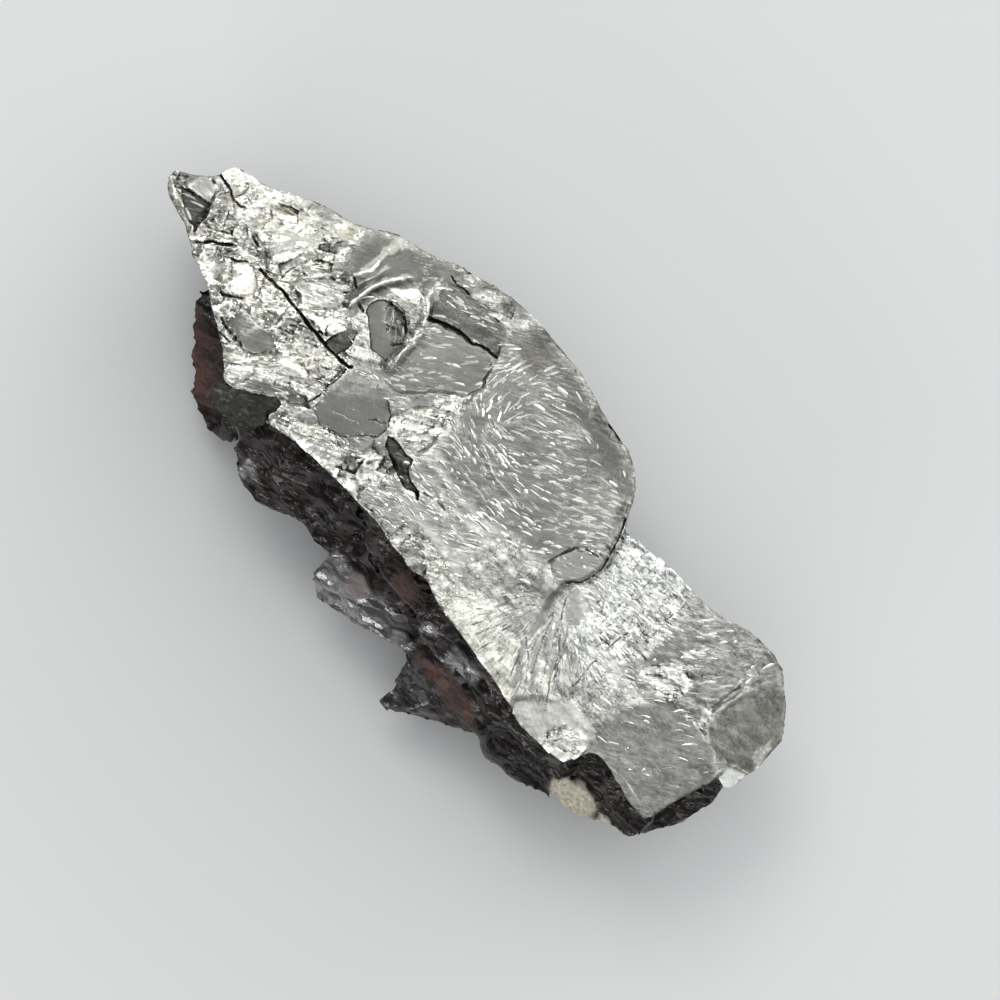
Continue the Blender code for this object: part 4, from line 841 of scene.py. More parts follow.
def ragged_line(x: Array, y: Array, path: Path, half_width: float) -> Array:
    """Draw a ragged line that thins out towards its ends.

    Args:
        x: places along, in mm.
        y: places across, in mm.
        path: the line's path.
        half_width: half its width, in mm.

    Returns:
        The line's share at each place, from 0 to 1.
    """
    end_width, end_length, core, rim = 0.35, 0.9, 0.6, 1.25
    (start_x, start_y), (end_x, end_y) = path[0], path[-1]
    ends = np.minimum(np.hypot(x - start_x, y - start_y), np.hypot(x - end_x, y - end_y))
    full = end_width + (1.0 - end_width) * ramp(ends, 0.0, end_length)
    lumpy = 1.0 + Wave(0.35, 0.33, 77).at(x, y) + Wave(0.45, 0.9, 78).at(x, y)
    width = half_width * full * lumpy
    return 1.0 - ramp(distance_to_path(x, y, path), width * core, width * rim)


def line_share(x: Array, y: Array, lines: Iterable[tuple[Path, float]]) -> Array:
    """Draw lines.

    Args:
        x: places along, in mm.
        y: places across, in mm.
        lines: the path and half the width of each line, in mm.

    Returns:
        How much each place lies on any of the lines, from 0 to 1.
    """
    faint, gain = 0.3, 9.0
    stray_x, stray_y = swayed(x, y, LINE_SWAY)
    share = np.zeros(np.shape(x))
    for path, half_width in lines:
        strength = min(1.0, faint + half_width * gain)
        share = np.maximum(share, ragged_line(stray_x, stray_y, path, half_width) * strength)
    return share


class Dresser:
    """Works out how each place of the stone looks, from the fields and the facets."""

    NAMES = ("tone", "polish", "grain", "streak", "craze", "warm")
    LOOSE_FEATHER = 0.4     # a field with a softer border than this strays widely, in mm
    LEAST_REACH = 0.05      # how soft a facet's border is at least, to each side, in mm

    def __init__(self, x: Array, y: Array) -> None:
        """Dress the face.

        Args:
            x: places along, in mm.
            y: places across, in mm.
        """
        start = Dress()
        self.values = {name: np.full(len(x), getattr(start, name)) for name in self.NAMES}
        wide_x, wide_y = swayed(x, y, WIDE_SWAY)
        near_x, near_y = strayed(x, y)
        near_x, near_y = near_x + CLOSE_SWAY[0].at(x, y), near_y + CLOSE_SWAY[1].at(x, y)
        for item in FIELDS.values():
            place = (wide_x, wide_y) if item.feather > self.LOOSE_FEATHER else (near_x, near_y)
            deep = depth_inside(*place, item.outline)
            self.lay(item.dress, ramp(deep, -item.feather / 2, item.feather / 2))
        for facet in FACETS.values():
            if facet.dress is not None:
                reach = max(facet.soft / 2, self.LEAST_REACH)
                deep = depth_inside(near_x, near_y, facet.outline)
                self.lay(facet.dress, ramp(deep, -reach, reach))

    def lay(self, dress: Dress, share: Array) -> None:
        """Lay a dress over what is there, by its share at each place."""
        for name in self.NAMES:
            self.values[name] = self.values[name] * (1 - share) + getattr(dress, name) * share


def flow_angles(x: Array, y: Array) -> Array:
    """Return the direction of the fine ridges.

    Args:
        x: places along, in mm.
        y: places across, in mm.

    Returns:
        The direction at each place, in radians from +X.
    """
    nearest, fade, sway = 0.15, -3.0, Wave(0.22, 0.9, 44)
    marks = np.array(FLOW_MARKS)
    doubled = np.radians(marks[:, 2]) * 2.0
    away = np.hypot(x[:, None] - marks[:, 0], y[:, None] - marks[:, 1]) + nearest
    weight = away ** fade
    turn = np.arctan2(weight @ np.sin(doubled), weight @ np.cos(doubled)) / 2.0
    return turn + sway.at(x, y)


# ---------------- the stone's skin


def plain_mesh(source: Object) -> bpy.types.Mesh:
    """Take an object's evaluated shape.

    Args:
        source: the object.

    Returns:
        The shape as a mesh of its own.
    """
    bpy.context.view_layer.update()
    graph = bpy.context.evaluated_depsgraph_get()
    return bpy.data.meshes.new_from_object(source.evaluated_get(graph))


def read(items: Any, name: str, parts: int = 3) -> Array:
    """Read a property of a mesh's items.

    Args:
        items: the items, such as its corners.
        name: the property.
        parts: how many numbers it has.

    Returns:
        A row of numbers for each item.
    """
    values = np.empty(len(items) * parts)
    items.foreach_get(name, values)
    return values.reshape(-1, parts)


@dataclass(frozen=True)
class Hollows:
    """One size of shell-like hollows on the flank.

    size is how far apart they lie in mm, squeeze how much the axes are squeezed, depth how deep
    they are in mm, level the squared distance from a middle where the flank stays as it is, and
    seed which set they are.
    """

    size: float
    seed: int
    squeeze: Triple
    depth: float
    level: float

    def push(self, places: Array) -> Array:
        """Return how far each place is pushed in, in mm."""
        return self.depth * (self.level - scallops(places, self.size, self.seed, self.squeeze))


@dataclass(frozen=True)
class FlankRelief:
    """The hollows and the fine lines that are cut into every side but the face.

    line_way is the direction across the lines, line_gap how far apart they lie and line_depth how
    deep they are, in mm; they come and go with line_patches, over the span line_share, and
    patch_lean is how far those patches slant.
    """

    large: Hollows = Hollows(1.9, 51, (0.8, 1.0, 1.2), 0.42, 0.55)
    small: Hollows = Hollows(0.8, 57, (0.7, 1.0, 1.3), 0.2, 0.5)
    line_way: Triple = (-0.33, 0.62, 0.9)
    line_gap: float = 0.5
    line_depth: float = 0.08
    line_sway: Wave = Wave(0.7, 1.7, 52)
    line_patches: Wave = Wave(1.0, 2.6, 54)
    patch_lean: float = 0.3
    line_share: Span = (-0.3, 0.3)

    def push(self, places: Array) -> Array:
        """Return how far each place is pushed in.

        Args:
            places: x, y, z of each place, in mm.

        Returns:
            The push at each place, in mm.
        """
        x, y, z = places.T
        way_x, way_y, way_z = self.line_way
        across = (y * way_y + z * way_z + x * way_x) / self.line_gap
        line = np.abs((across + self.line_sway.at(x, y + z)) % 1.0 - 0.5)
        lined = ramp(self.line_patches.at(x + self.patch_lean * y, y - z), *self.line_share)
        hollow = self.large.push(places) + self.small.push(places)
        return hollow + self.line_depth * lined * line


@dataclass(frozen=True)
class Patch:
    """A stain or a shade on the flank.

    outline is its shape seen from above and feather its border's width, in mm; strength is how
    thick it lies, from 0 to 1.
    """

    outline: Path
    feather: float
    strength: float = 1.0


RUST_PATCHES = (
    Patch(((-19, -3.4), (-14, -4.8), (-13, -7.4), (-15, -7.9), (-17.6, -5.9)), 1.8),
    Patch(((2.1, -4.5), (3.7, -4.6), (3.7, -5.8), (2.2, -5.8)), 0.5),
    Patch(((6.2, -7.5), (7.5, -6.9), (9.5, -6.8), (11, -7.2), (12.6, -8), (10.8, -8.2), (8, -7.9)),
        0.5),
    Patch(((0.2, -7), (1.5, -7), (1.4, -8), (0.4, -8)), 0.6),
)
CREAM_PATCHES = (
    Patch(((17.6, -6.3), (18, -5.6), (19, -5.3), (20, -5.4), (20.9, -6), (21.2, -6.2),
        (20.8, -6.8), (20, -7.2), (19.2, -7.6), (18.9, -7.3), (17.6, -6.95)), 0.3),
    Patch(((21, -5.8), (21.5, -5.6), (21.95, -5.8), (21.7, -6.1)), 0.2),
)
PALE_PATCHES = (
    Patch(((-2.1, -8.9), (-1.2, -9.6), (-0.3, -10.4), (1.8, -9.8), (3.9, -9), (5.7, -8.3), (6, -7),
        (3, -6.9), (-1.6, -6.9)), 0.5),
    Patch(((7.7, -5.5), (9.8, -5.5), (9.8, -6.7), (7.7, -6.6)), 0.4),
    Patch(((5.3, -5.7), (6.2, -5.7), (6.2, -6.3), (5.3, -6.3)), 0.3),
    Patch(((-9.2, -7.1), (-8, -7.4), (-8.6, -8.4), (-9.4, -8.2)), 0.3),
    Patch(((6.2, -8.1), (8.4, -7.9), (11.2, -8.4), (9.8, -9.8), (7.6, -11.8), (6.8, -11.6)), 0.4,
        0.22),
)


@dataclass(frozen=True)
class FlankDress:
    """The stains and shades of the flank, which fade out over the span foot above the floor."""

    rust: tuple[Patch, ...] = RUST_PATCHES
    cream: tuple[Patch, ...] = CREAM_PATCHES
    pale: tuple[Patch, ...] = PALE_PATCHES
    sway: tuple[Wave, Wave] = (Wave(0.3, 0.7, 61), Wave(0.3, 0.7, 62))
    foot: Span = (0.5, 2.0)

    def values(self, x: Array, y: Array, z: Array) -> dict[str, Array]:
        """Return the share of each stain.

        Args:
            x: places along, in mm.
            y: places across, in mm.
            z: places above the floor.

        Returns:
            The share at each place, from 0 to 1, by the stain's name.
        """
        stray_x, stray_y = x + self.sway[0].at(x, y + z), y + self.sway[1].at(x + z, y)
        made = {}
        for name in ("rust", "cream", "pale"):
            share = np.zeros(len(x))
            for patch in getattr(self, name):
                deep = depth_inside(stray_x, stray_y, patch.outline)
                laid = patch.strength * ramp(deep, -patch.feather / 2, patch.feather / 2)
                share = np.maximum(share, laid)
            made[name] = share * ramp(z, *self.foot)
        return made


@dataclass
class Skin:
    """The stone's visible body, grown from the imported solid.

    Sizes are in mm. cell is the coarse mesh's spacing, halved once over what shows and once more
    within line_reach of the face's lines, where a field's border is sharper than sharp_feather,
    and where the grain is over busy_grain. Even stretches are then merged until the skin has
    most_triangles; tone_lift is how far bright metal is lifted meanwhile, so that borders between
    light and dark keep their corners. Edges over sharp_angle degrees stay sharp.

    A corner belongs to the face where it is within face_reach of the relief, or inner_more beyond
    that when it is inner_depth inside the outline. pressed_border and pressed_up are the spans of
    depth and of slope over which the face is pressed down, bright_border and bright_up those over
    which it turns bright, and foot the heights over which the other sides' relief begins.
    hub is the middle of the fan of rays and fan_turns how many of them there are to a radian;
    fan_side, fan_start and fan_end are the spans over which the fan comes in and ends.
    """

    cell: float = 0.32
    most_triangles: int = 192000
    tone_lift: float = 0.12
    merge: float = 1e-3
    line_reach: float = 0.22
    sharp_feather: float = 0.2
    busy_grain: float = 0.5
    sharp_angle: float = 32.0
    face_reach: float = 0.75
    inner_more: float = 1.3
    inner_depth: float = 0.8
    pressed_border: Span = (-0.12, 0.04)
    pressed_up: Span = (-0.05, 0.15)
    bright_border: Span = (-0.05, 0.05)
    bright_up: Span = (0.2, 0.45)
    bright_depth: float = 0.5
    foot: Span = (0.25, 1.1)
    most_push: float = 0.5
    full_curve: float = 0.04
    hub: tuple[float, float] = (9.3, 2.2)
    fan_turns: float = 7.0
    fan_middle: float = 9.0
    fan_lean: float = 0.15
    fan_side: Span = (-1.8, 0.2)
    fan_start: Span = (3.5, 6.5)
    fan_end: Span = (13.0, 15.0)
    relief: FaceRelief = field(default_factory=FaceRelief)
    flank: FlankRelief = FlankRelief()

    def copy_of_solid(self) -> Object:
        """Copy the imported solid.

        Returns:
            A copy drawn in mm, with its loose triangles merged.
        """
        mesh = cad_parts[NODE].data.copy()
        mesh.transform(Matrix.Scale(1.0 / MM, 4))
        shape = bmesh.new()
        shape.from_mesh(mesh)
        bmesh.ops.remove_doubles(shape, verts=shape.verts, dist=self.merge)
        shape.to_mesh(mesh)
        shape.free()
        stone = bpy.data.objects.new("stone_skin", mesh)
        bpy.context.scene.collection.objects.link(stone)
        return stone

    def remesh(self, stone: Object) -> None:
        """Give the stone an even mesh of small squares.

        Args:
            stone: the stone, changed in place.
        """
        modifier = stone.modifiers.new("even", "REMESH")
        modifier.mode = "VOXEL"
        modifier.voxel_size = self.cell
        stone.data = plain_mesh(stone)
        stone.modifiers.remove(modifier)

    def lines(self) -> list[Path]:
        """Gather the lines of the face.

        Returns:
            Every path that the finest mesh follows.
        """
        sharp = [item for item in FIELDS.values() if item.feather < self.sharp_feather]
        paths = [closed(item.outline) for item in (*FACETS.values(), *sharp)]
        paths += [crack.path for crack in CRACKS] + [path for path, _ in GLINTS]
        return paths + [closed(FACE_OUTLINE)]

    def to_halve(self, x: Array, y: Array, z: Array, finest: bool) -> Array:
        """Choose the squares to halve.

        Args:
            x: places along, in mm.
            y: places across, in mm.
            z: places above the floor.
            finest: whether this is the second round, over the busy ground of the face alone.

        Returns:
            True for each place that is chosen.
        """
        border, thickness, foot, flank_y, flank_lean, end_x = -0.25, 2.0, 1.0, -1.0, 0.1, 22.0
        chosen = depth_inside(x, y, FACE_OUTLINE) > border
        chosen &= np.abs(z - self.relief.coarse(x, y)) < thickness
        if not finest:
            return chosen | (z > foot) & ((y < flank_y - z * flank_lean) | (x > end_x))
        x, y = x[chosen], y[chosen]
        near = np.full(len(x), np.inf)
        for line in self.lines():
            near = np.minimum(near, distance_to_path(x, y, line))
        busy = Dresser(x, y).values["grain"] > self.busy_grain
        chosen[chosen] = (near < self.line_reach) | busy
        return chosen

    def refine(self, stone: Object) -> None:
        """Halve the squares where the stone shows, and once more where the face is busy.

        Args:
            stone: the stone, changed in place.
        """
        shape = bmesh.new()
        shape.from_mesh(stone.data)
        for finest in (False, True):
            x, y, z = np.array([item.calc_center_median()[:] for item in shape.faces]).T
            wanted = np.flatnonzero(self.to_halve(x, y, z, finest))
            shape.faces.ensure_lookup_table()
            edges = {edge for index in wanted for edge in shape.faces[index].edges}
            bmesh.ops.subdivide_edges(shape, edges=list(edges), cuts=1, use_grid_fill=True)
        many_sided = [item for item in shape.faces if len(item.verts) > 4]
        bmesh.ops.triangulate(shape, faces=many_sided)
        shape.to_mesh(stone.data)
        shape.free()

    @staticmethod
    def corners(stone: Object) -> tuple[Array, Array]:
        """Return x, y, z of each corner and of its normal."""
        return read(stone.data.vertices, "co"), read(stone.data.vertex_normals, "vector")

    @staticmethod
    def move(stone: Object, places: Array) -> None:
        """Put the corners at new places."""
        stone.data.vertices.foreach_set("co", places.ravel())
        stone.data.update()

    def carve(self, stone: Object) -> Array:
        """Press the face onto its relief and cut small hollows and lines into the other sides.

        Args:
            stone: the stone, changed in place.

        Returns:
            How much each corner belongs to the face, from 0 to 1.
        """
        places, normals = self.corners(stone)
        x, y, z = places.T
        up = normals[:, 2]
        dresser = Dresser(x, y)
        height = self.relief.height(x, y, dresser.values["grain"], dresser.values["streak"])
        deep = depth_inside(x, y, FACE_OUTLINE)
        ragged = depth_inside(*strayed(x, y), FACE_OUTLINE)
        reach = self.face_reach + self.inner_more * (deep > self.inner_depth)
        near_top = np.abs(z - height) < reach
        share = ramp(deep, *self.pressed_border) * near_top * ramp(up, *self.pressed_up)
        face = ramp(ragged, *self.bright_border) * near_top
        face = face * np.where(deep > self.bright_depth, 1.0, ramp(up, *self.bright_up))
        rough = (1.0 - share) * ramp(z, *self.foot)
        push = np.clip(rough * self.flank.push(places), 0.0, self.most_push)
        places = places - normals * push[:, None]
        places[:, 2] = places[:, 2] * (1 - share) + height * share
        self.move(stone, places)
        return face

    def curvature(self, stone: Object) -> Array:
        """Measure how much each corner stands out from its neighbours.

        Args:
            stone: the stone.

        Returns:
            The height over the smoothed surface at each corner, in mm; dips are negative.
        """
        rounds = 3
        places, normals = self.corners(stone)
        ends = np.empty(len(stone.data.edges) * 2, dtype=np.int32)
        stone.data.edges.foreach_get("vertices", ends)
        first, second = ends.reshape(-1, 2).T
        total = len(places)
        count = np.bincount(first, minlength=total) + np.bincount(second, minlength=total)
        smooth = places
        for _ in range(rounds):
            sums = [np.bincount(first, smooth[second, k], total)
                    + np.bincount(second, smooth[first, k], total) for k in range(3)]
            smooth = np.stack(sums, axis=1) / np.maximum(count, 1)[:, None]
        return np.sum((places - smooth) * normals, axis=1)

    def fanned(self, x: Array, y: Array) -> Array:
        """Return how much the rays of the fan show at each place, from 0 to 1."""
        side = ramp(-y - self.fan_lean * np.abs(x - self.fan_middle), *self.fan_side)
        return side * ramp(x, *self.fan_start) * (1.0 - ramp(x, *self.fan_end))

    @staticmethod
    def ground(x: Array, y: Array, up: Array, curve: Array,
               stored: dict[str, Array]) -> dict[str, Array]:
        """Find where the small pieces may stand, off cracks, edges, the border and steep ground.

        Args:
            x: places along, in mm.
            y: places across, in mm.
            up: how much each place faces up, from -1 to 1.
            curve: how far it stands out from its neighbours, in mm.
            stored: what is already stored there.

        Returns:
            The share of hackles and of crumbs at each place, from 0 to 1.
        """
        most_crack, most_curve, border, patchy_least = 0.3, 0.05, 0.75, 0.35
        upright, streaky, crumbly = (0.7, 0.85), (0.3, 0.8), (0.3, 0.9)
        patches, in_patch = Wave(1.0, 1.5, 48), (-0.5, 0.5)
        clear = stored["face"] * (stored["crack"] < most_crack) * (np.abs(curve) < most_curve)
        clear = clear * (depth_inside(x, y, FACE_OUTLINE) > border) * ramp(up, *upright)
        thick = patchy_least + (1.0 - patchy_least) * ramp(patches.at(x, y), *in_patch)
        return {"hackles": clear * ramp(stored["streak"], *streaky) * thick,
                "crumbs": clear * ramp(stored["grain"], *crumbly)}

    def paint(self, stone: Object, face: Array) -> None:
        """Store what the finishes and the scattered pieces read, at each corner.

        Args:
            stone: the stone.
            face: how much each corner belongs to the face, from 0 to 1.
        """
        places, normals = self.corners(stone)
        x, y, z = places.T
        curve = self.curvature(stone)
        stored = dict(Dresser(x, y).values)
        stored["face"] = face
        cracks = [(crack.path, crack.half_width) for crack in CRACKS]
        stored["crack"] = line_share(x, y, cracks) * face
        stored["glint"] = line_share(x, y, GLINTS) * face
        # Each chip's random tone plus painted shade by its lean.
        stored["chip"] = self.relief.chipped(x, y)[2]
        # Curvature: painted highlight on crests, painted shade in dips.
        stored["ridge"] = np.clip(curve / self.full_curve, 0.0, 1.0)
        stored["pit"] = np.clip(-curve / self.full_curve, 0.0, 1.0)
        stored.update(FlankDress().values(x, y, z))
        stored.update(self.ground(x, y, normals[:, 2], curve, stored))
        stored["fanned"] = self.fanned(x, y)
        for name, values in stored.items():
            layer = stone.data.attributes.new(name, "FLOAT", "POINT")
            layer.data.foreach_set("value", np.asarray(values, dtype=np.float32))
        turn = np.where(face > 0.5, flow_angles(x, y), math.radians(self.relief.chip_turn))
        way = np.stack((np.cos(turn), np.sin(turn), np.zeros_like(turn)), axis=1)
        away_x, away_y = x - self.hub[0], y - self.hub[1]
        around = np.arctan2(away_y, away_x)
        fan = np.stack((np.hypot(away_x, away_y), around * self.fan_turns, z), axis=1)
        for name, vectors in (("way", way), ("fan", fan)):
            layer = stone.data.attributes.new(name, "FLOAT_VECTOR", "POINT")
            layer.data.foreach_set("vector", vectors.astype(np.float32).ravel())

    def lift(self, stone: Object, amount: float) -> None:
        """Raise each corner by its tone and glint.

        Args:
            stone: the stone, changed in place.
            amount: how far the full tone or glint raises it, in mm.
        """
        places = read(stone.data.vertices, "co")
        for name in ("tone", "glint"):
            places[:, 2] += read(stone.data.attributes[name].data, "value", 1)[:, 0] * amount
        self.move(stone, places)

    def thin(self, stone: Object) -> None:
        """Merge corners where the skin is even in form and tone, down to the most triangles.

        Args:
            stone: the stone, changed in place.
        """
        self.lift(stone, self.tone_lift)
        stone.data.calc_loop_triangles()
        modifier = stone.modifiers.new("thin", "DECIMATE")
        modifier.ratio = min(1.0, self.most_triangles / len(stone.data.loop_triangles))
        stone.data = plain_mesh(stone)
        stone.modifiers.remove(modifier)
        self.lift(stone, -self.tone_lift)

    @staticmethod
    def dress(stone: Object) -> None:
        """Give the stone its finish as its only material."""
        stone.data.materials.clear()
        stone.data.materials.append(StoneFinish().build())

    def build(self) -> Object:
        """Build and dress the skin.

        Returns:
            The finished skin, in metres.
        """
        stone = self.copy_of_solid()
        self.remesh(stone)
        self.refine(stone)
        face = self.carve(stone)
        self.paint(stone, face)
        self.thin(stone)
        stone.data.transform(Matrix.Scale(MM, 4))
        stone.data.shade_smooth()
        stone.data.set_sharp_from_angle(angle=math.radians(self.sharp_angle))
        self.dress(stone)
        return stone


# ---------------- shader maths


class Num:
    """A number socket that adds Math nodes when it is used in an expression."""

    def __init__(self, tree: "Tree", socket: Socket) -> None:
        """Wrap a socket of a tree."""
        self.tree, self.socket = tree, socket

    def join(self, operation: str, first: "Num | float", second: "Num | float",
             clamp: bool = False) -> "Num":
        """Return a Math node's result on two numbers."""
        settings = {"operation": operation, "use_clamp": clamp}
        return self.tree.number("ShaderNodeMath", settings, {0: first, 1: second})

    def __add__(self, other: "Num | float") -> "Num":
        """Return the sum."""
        return self.join("ADD", self, other)

    __radd__ = __add__

    def __sub__(self, other: "Num | float") -> "Num":
        """Return the difference."""
        return self.join("SUBTRACT", self, other)

    def __rsub__(self, other: "Num | float") -> "Num":
        """Return the difference, with a plain number first."""
        return self.join("SUBTRACT", other, self)

    def __mul__(self, other: "Num | float") -> "Num":
        """Return the product."""
        return self.join("MULTIPLY", self, other)

    __rmul__ = __mul__

    def clamp(self) -> "Num":
        """Return the number held between 0 and 1."""
        return self.join("ADD", self, 0.0, clamp=True)

    def most(self, other: "Num | float") -> "Num":
        """Return the larger of two numbers."""
        return self.join("MAXIMUM", self, other)

    def swing(self) -> "Num":
        """Return how far the number is over a half; below it is negative."""
        return self - 0.5

    def step(self, low: float, high: float) -> "Num":
        """Return a smooth step from 0 at low to 1 at high."""
        return self.tree.number("ShaderNodeMapRange", {"interpolation_type": "SMOOTHSTEP"}, {
            "Value": self, "From Min": low, "From Max": high, "To Min": 0.0, "To Max": 1.0})

    def line(self, width: float) -> "Num":
        """Return a thin line where the number passes a half."""
        away = self.tree.number("ShaderNodeMath", {"operation": "ABSOLUTE"}, {0: self.swing()})
        return 1.0 - away.step(0.0, width)


class Tree:
    """A node tree with one method that adds any node."""

    def __init__(self, group: bpy.types.NodeTree) -> None:
        """Wrap a node tree."""
        self.group = group

    def add(self, kind: str, settings: dict[str, Any], inputs: Inputs) -> bpy.types.Node:
        """Add a node.

        Args:
            kind: the node's type.
            settings: its properties, set first.
            inputs: a value, a socket or a Num for each input, by name or number.

        Returns:
            The node.
        """
        node = self.group.nodes.new(kind)
        for name, value in settings.items():
            setattr(node, name, value)
        for key, value in inputs.items():
            self.feed(node.inputs[key], value)
        return node

    def feed(self, socket: Socket, value: Any) -> None:
        """Link a value to a socket, or set it there.

        Args:
            socket: the socket.
            value: a Num, a socket or a plain value.
        """
        if isinstance(value, Num):
            self.group.links.new(value.socket, socket)
        elif isinstance(value, Socket):
            self.group.links.new(value, socket)
        else:
            socket.default_value = value

    def number(self, kind: str, settings: dict[str, Any], inputs: Inputs,
               output: int | str = 0) -> Num:
        """Add a node and return one of its outputs as a number."""
        return Num(self, self.add(kind, settings, inputs).outputs[output])

    def vector(self, operation: str, inputs: Inputs) -> Socket:
        """Add a Vector Math node and return its result."""
        return self.add("ShaderNodeVectorMath", {"operation": operation}, inputs).outputs[0]


class Finish(Tree):
    """A material's node tree, with the patterns that the finishes share."""

    NOISE_ROUGHNESS = 0.55

    def __init__(self, name: str) -> None:
        """Start a material with one Principled shader.

        Args:
            name: the material's name.
        """
        self.material = bpy.data.materials.new(name)
        self.material.use_nodes = True
        super().__init__(self.material.node_tree)
        self.shader = self.group.nodes["Principled BSDF"]

    def shade(self, **inputs: Any) -> Material:
        """Feed the shader.

        Args:
            **inputs: a value for each socket, which is named with underscores.

        Returns:
            The material.
        """
        for name, value in inputs.items():
            self.feed(self.shader.inputs[name.replace("_", " ").title()], value)
        return self.material

    def stored(self, name: str) -> Num:
        """Return a number stored on the mesh."""
        return self.number("ShaderNodeAttribute", {"attribute_name": name}, {}, "Fac")

    def stored_vector(self, name: str) -> Socket:
        """Return a vector stored on the mesh."""
        return self.add("ShaderNodeAttribute", {"attribute_name": name}, {}).outputs["Vector"]

    def scaled(self, vector: Socket, factors: Triple) -> Socket:
        """Return a vector with each part multiplied."""
        return self.vector("MULTIPLY", {0: vector, 1: factors})

    def turned(self, vector: Socket, degrees: float) -> Socket:
        """Return a vector turned about Z."""
        inputs = {"Vector": vector, "Angle": -math.radians(degrees)}
        return self.add("ShaderNodeVectorRotate", {"rotation_type": "Z_AXIS"}, inputs).outputs[0]

    def place_mm(self) -> Socket:
        """Return the place on the stone in mm."""
        place = self.add("ShaderNodeTexCoord", {}, {}).outputs["Object"]
        return self.scaled(place, (1.0 / MM, 1.0 / MM, 1.0 / MM))

    def noise(self, place: Socket, per_mm: float, detail: float, twist: float = 0.0) -> Num:
        """Return clouds from 0 to 1, with so many in a mm and so many finer sizes in them."""
        return self.number("ShaderNodeTexNoise", {}, {
            "Vector": place, "Scale": per_mm, "Detail": detail,
            "Roughness": self.NOISE_ROUGHNESS, "Distortion": twist})

    def drawn(self, place: Socket, factors: Triple, detail: float, twist: float) -> Num:
        """Return clouds that are squeezed by so many to a mm along each axis."""
        return self.noise(self.scaled(place, factors), 1.0, detail, twist)

    def cells(self, place: Socket, factors: Triple) -> Socket:
        """Return a random colour for each cell, with so many cells in a mm along each axis."""
        inputs = {"Vector": self.scaled(place, factors), "Scale": 1.0}
        return self.add("ShaderNodeTexVoronoi", {}, inputs).outputs["Color"]

    def red(self, colour: Socket) -> Num:
        """Return the red part of a colour."""
        return self.number("ShaderNodeSeparateColor", {}, {0: colour})

    def blend(self, share: Num, first: "Shade | Socket", second: "Shade | Socket") -> Socket:
        """Mix two colours.

        Args:
            share: how much there is of the second colour.
            first: the first colour; a Shade gives its own.
            second: the second colour.

        Returns:
            The mixed colour.
        """
        ends = [item.value if isinstance(item, Shade) else item for item in (first, second)]
        inputs = {0: share, 6: ends[0], 7: ends[1]}
        return self.add("ShaderNodeMix", {"data_type": "RGBA"}, inputs).outputs[2]

    def tilted(self, normal: Socket, cell: Socket, share: Num) -> Socket:
        """Lean a normal another way in each cell.

        Args:
            normal: the normal.
            cell: the cells' random colours.
            share: how far it leans.

        Returns:
            The leaning normal.
        """
        middle = self.vector("SUBTRACT", {0: cell, 1: (0.5, 0.5, 0.5)})
        lean = self.vector("SCALE", {0: middle, "Scale": share})
        return self.vector("NORMALIZE", {0: self.vector("ADD", {0: normal, 1: lean})})


class Shade(Enum):
    """The stone's colours, linear."""

    FACE_DARK = (0.03, 0.0285, 0.026, 1.0)
    FACE_BRIGHT = (0.95, 0.965, 0.93, 1.0)
    FACE_WARM = (1.0, 0.98, 0.87, 1.0)
    HACKLE_DARK = (0.5, 0.5, 0.47, 1.0)
    HACKLE_BRIGHT = (0.97, 0.96, 0.9, 1.0)
    CRACK = (0.010, 0.008, 0.007, 1.0)
    FLANK_DARK = (0.022, 0.019, 0.017, 1.0)
    # The flank's pale striae, partly painted highlight.
    FLANK_LINE_SHEEN = (0.22, 0.20, 0.195, 1.0)
    PALE = (0.40, 0.385, 0.38, 1.0)
    RUST = (0.15, 0.05, 0.035, 1.0)
    EMBER = (0.32, 0.085, 0.045, 1.0)
    CREAM_DARK = (0.42, 0.36, 0.26, 1.0)
    CREAM_BRIGHT = (0.95, 0.9, 0.74, 1.0)


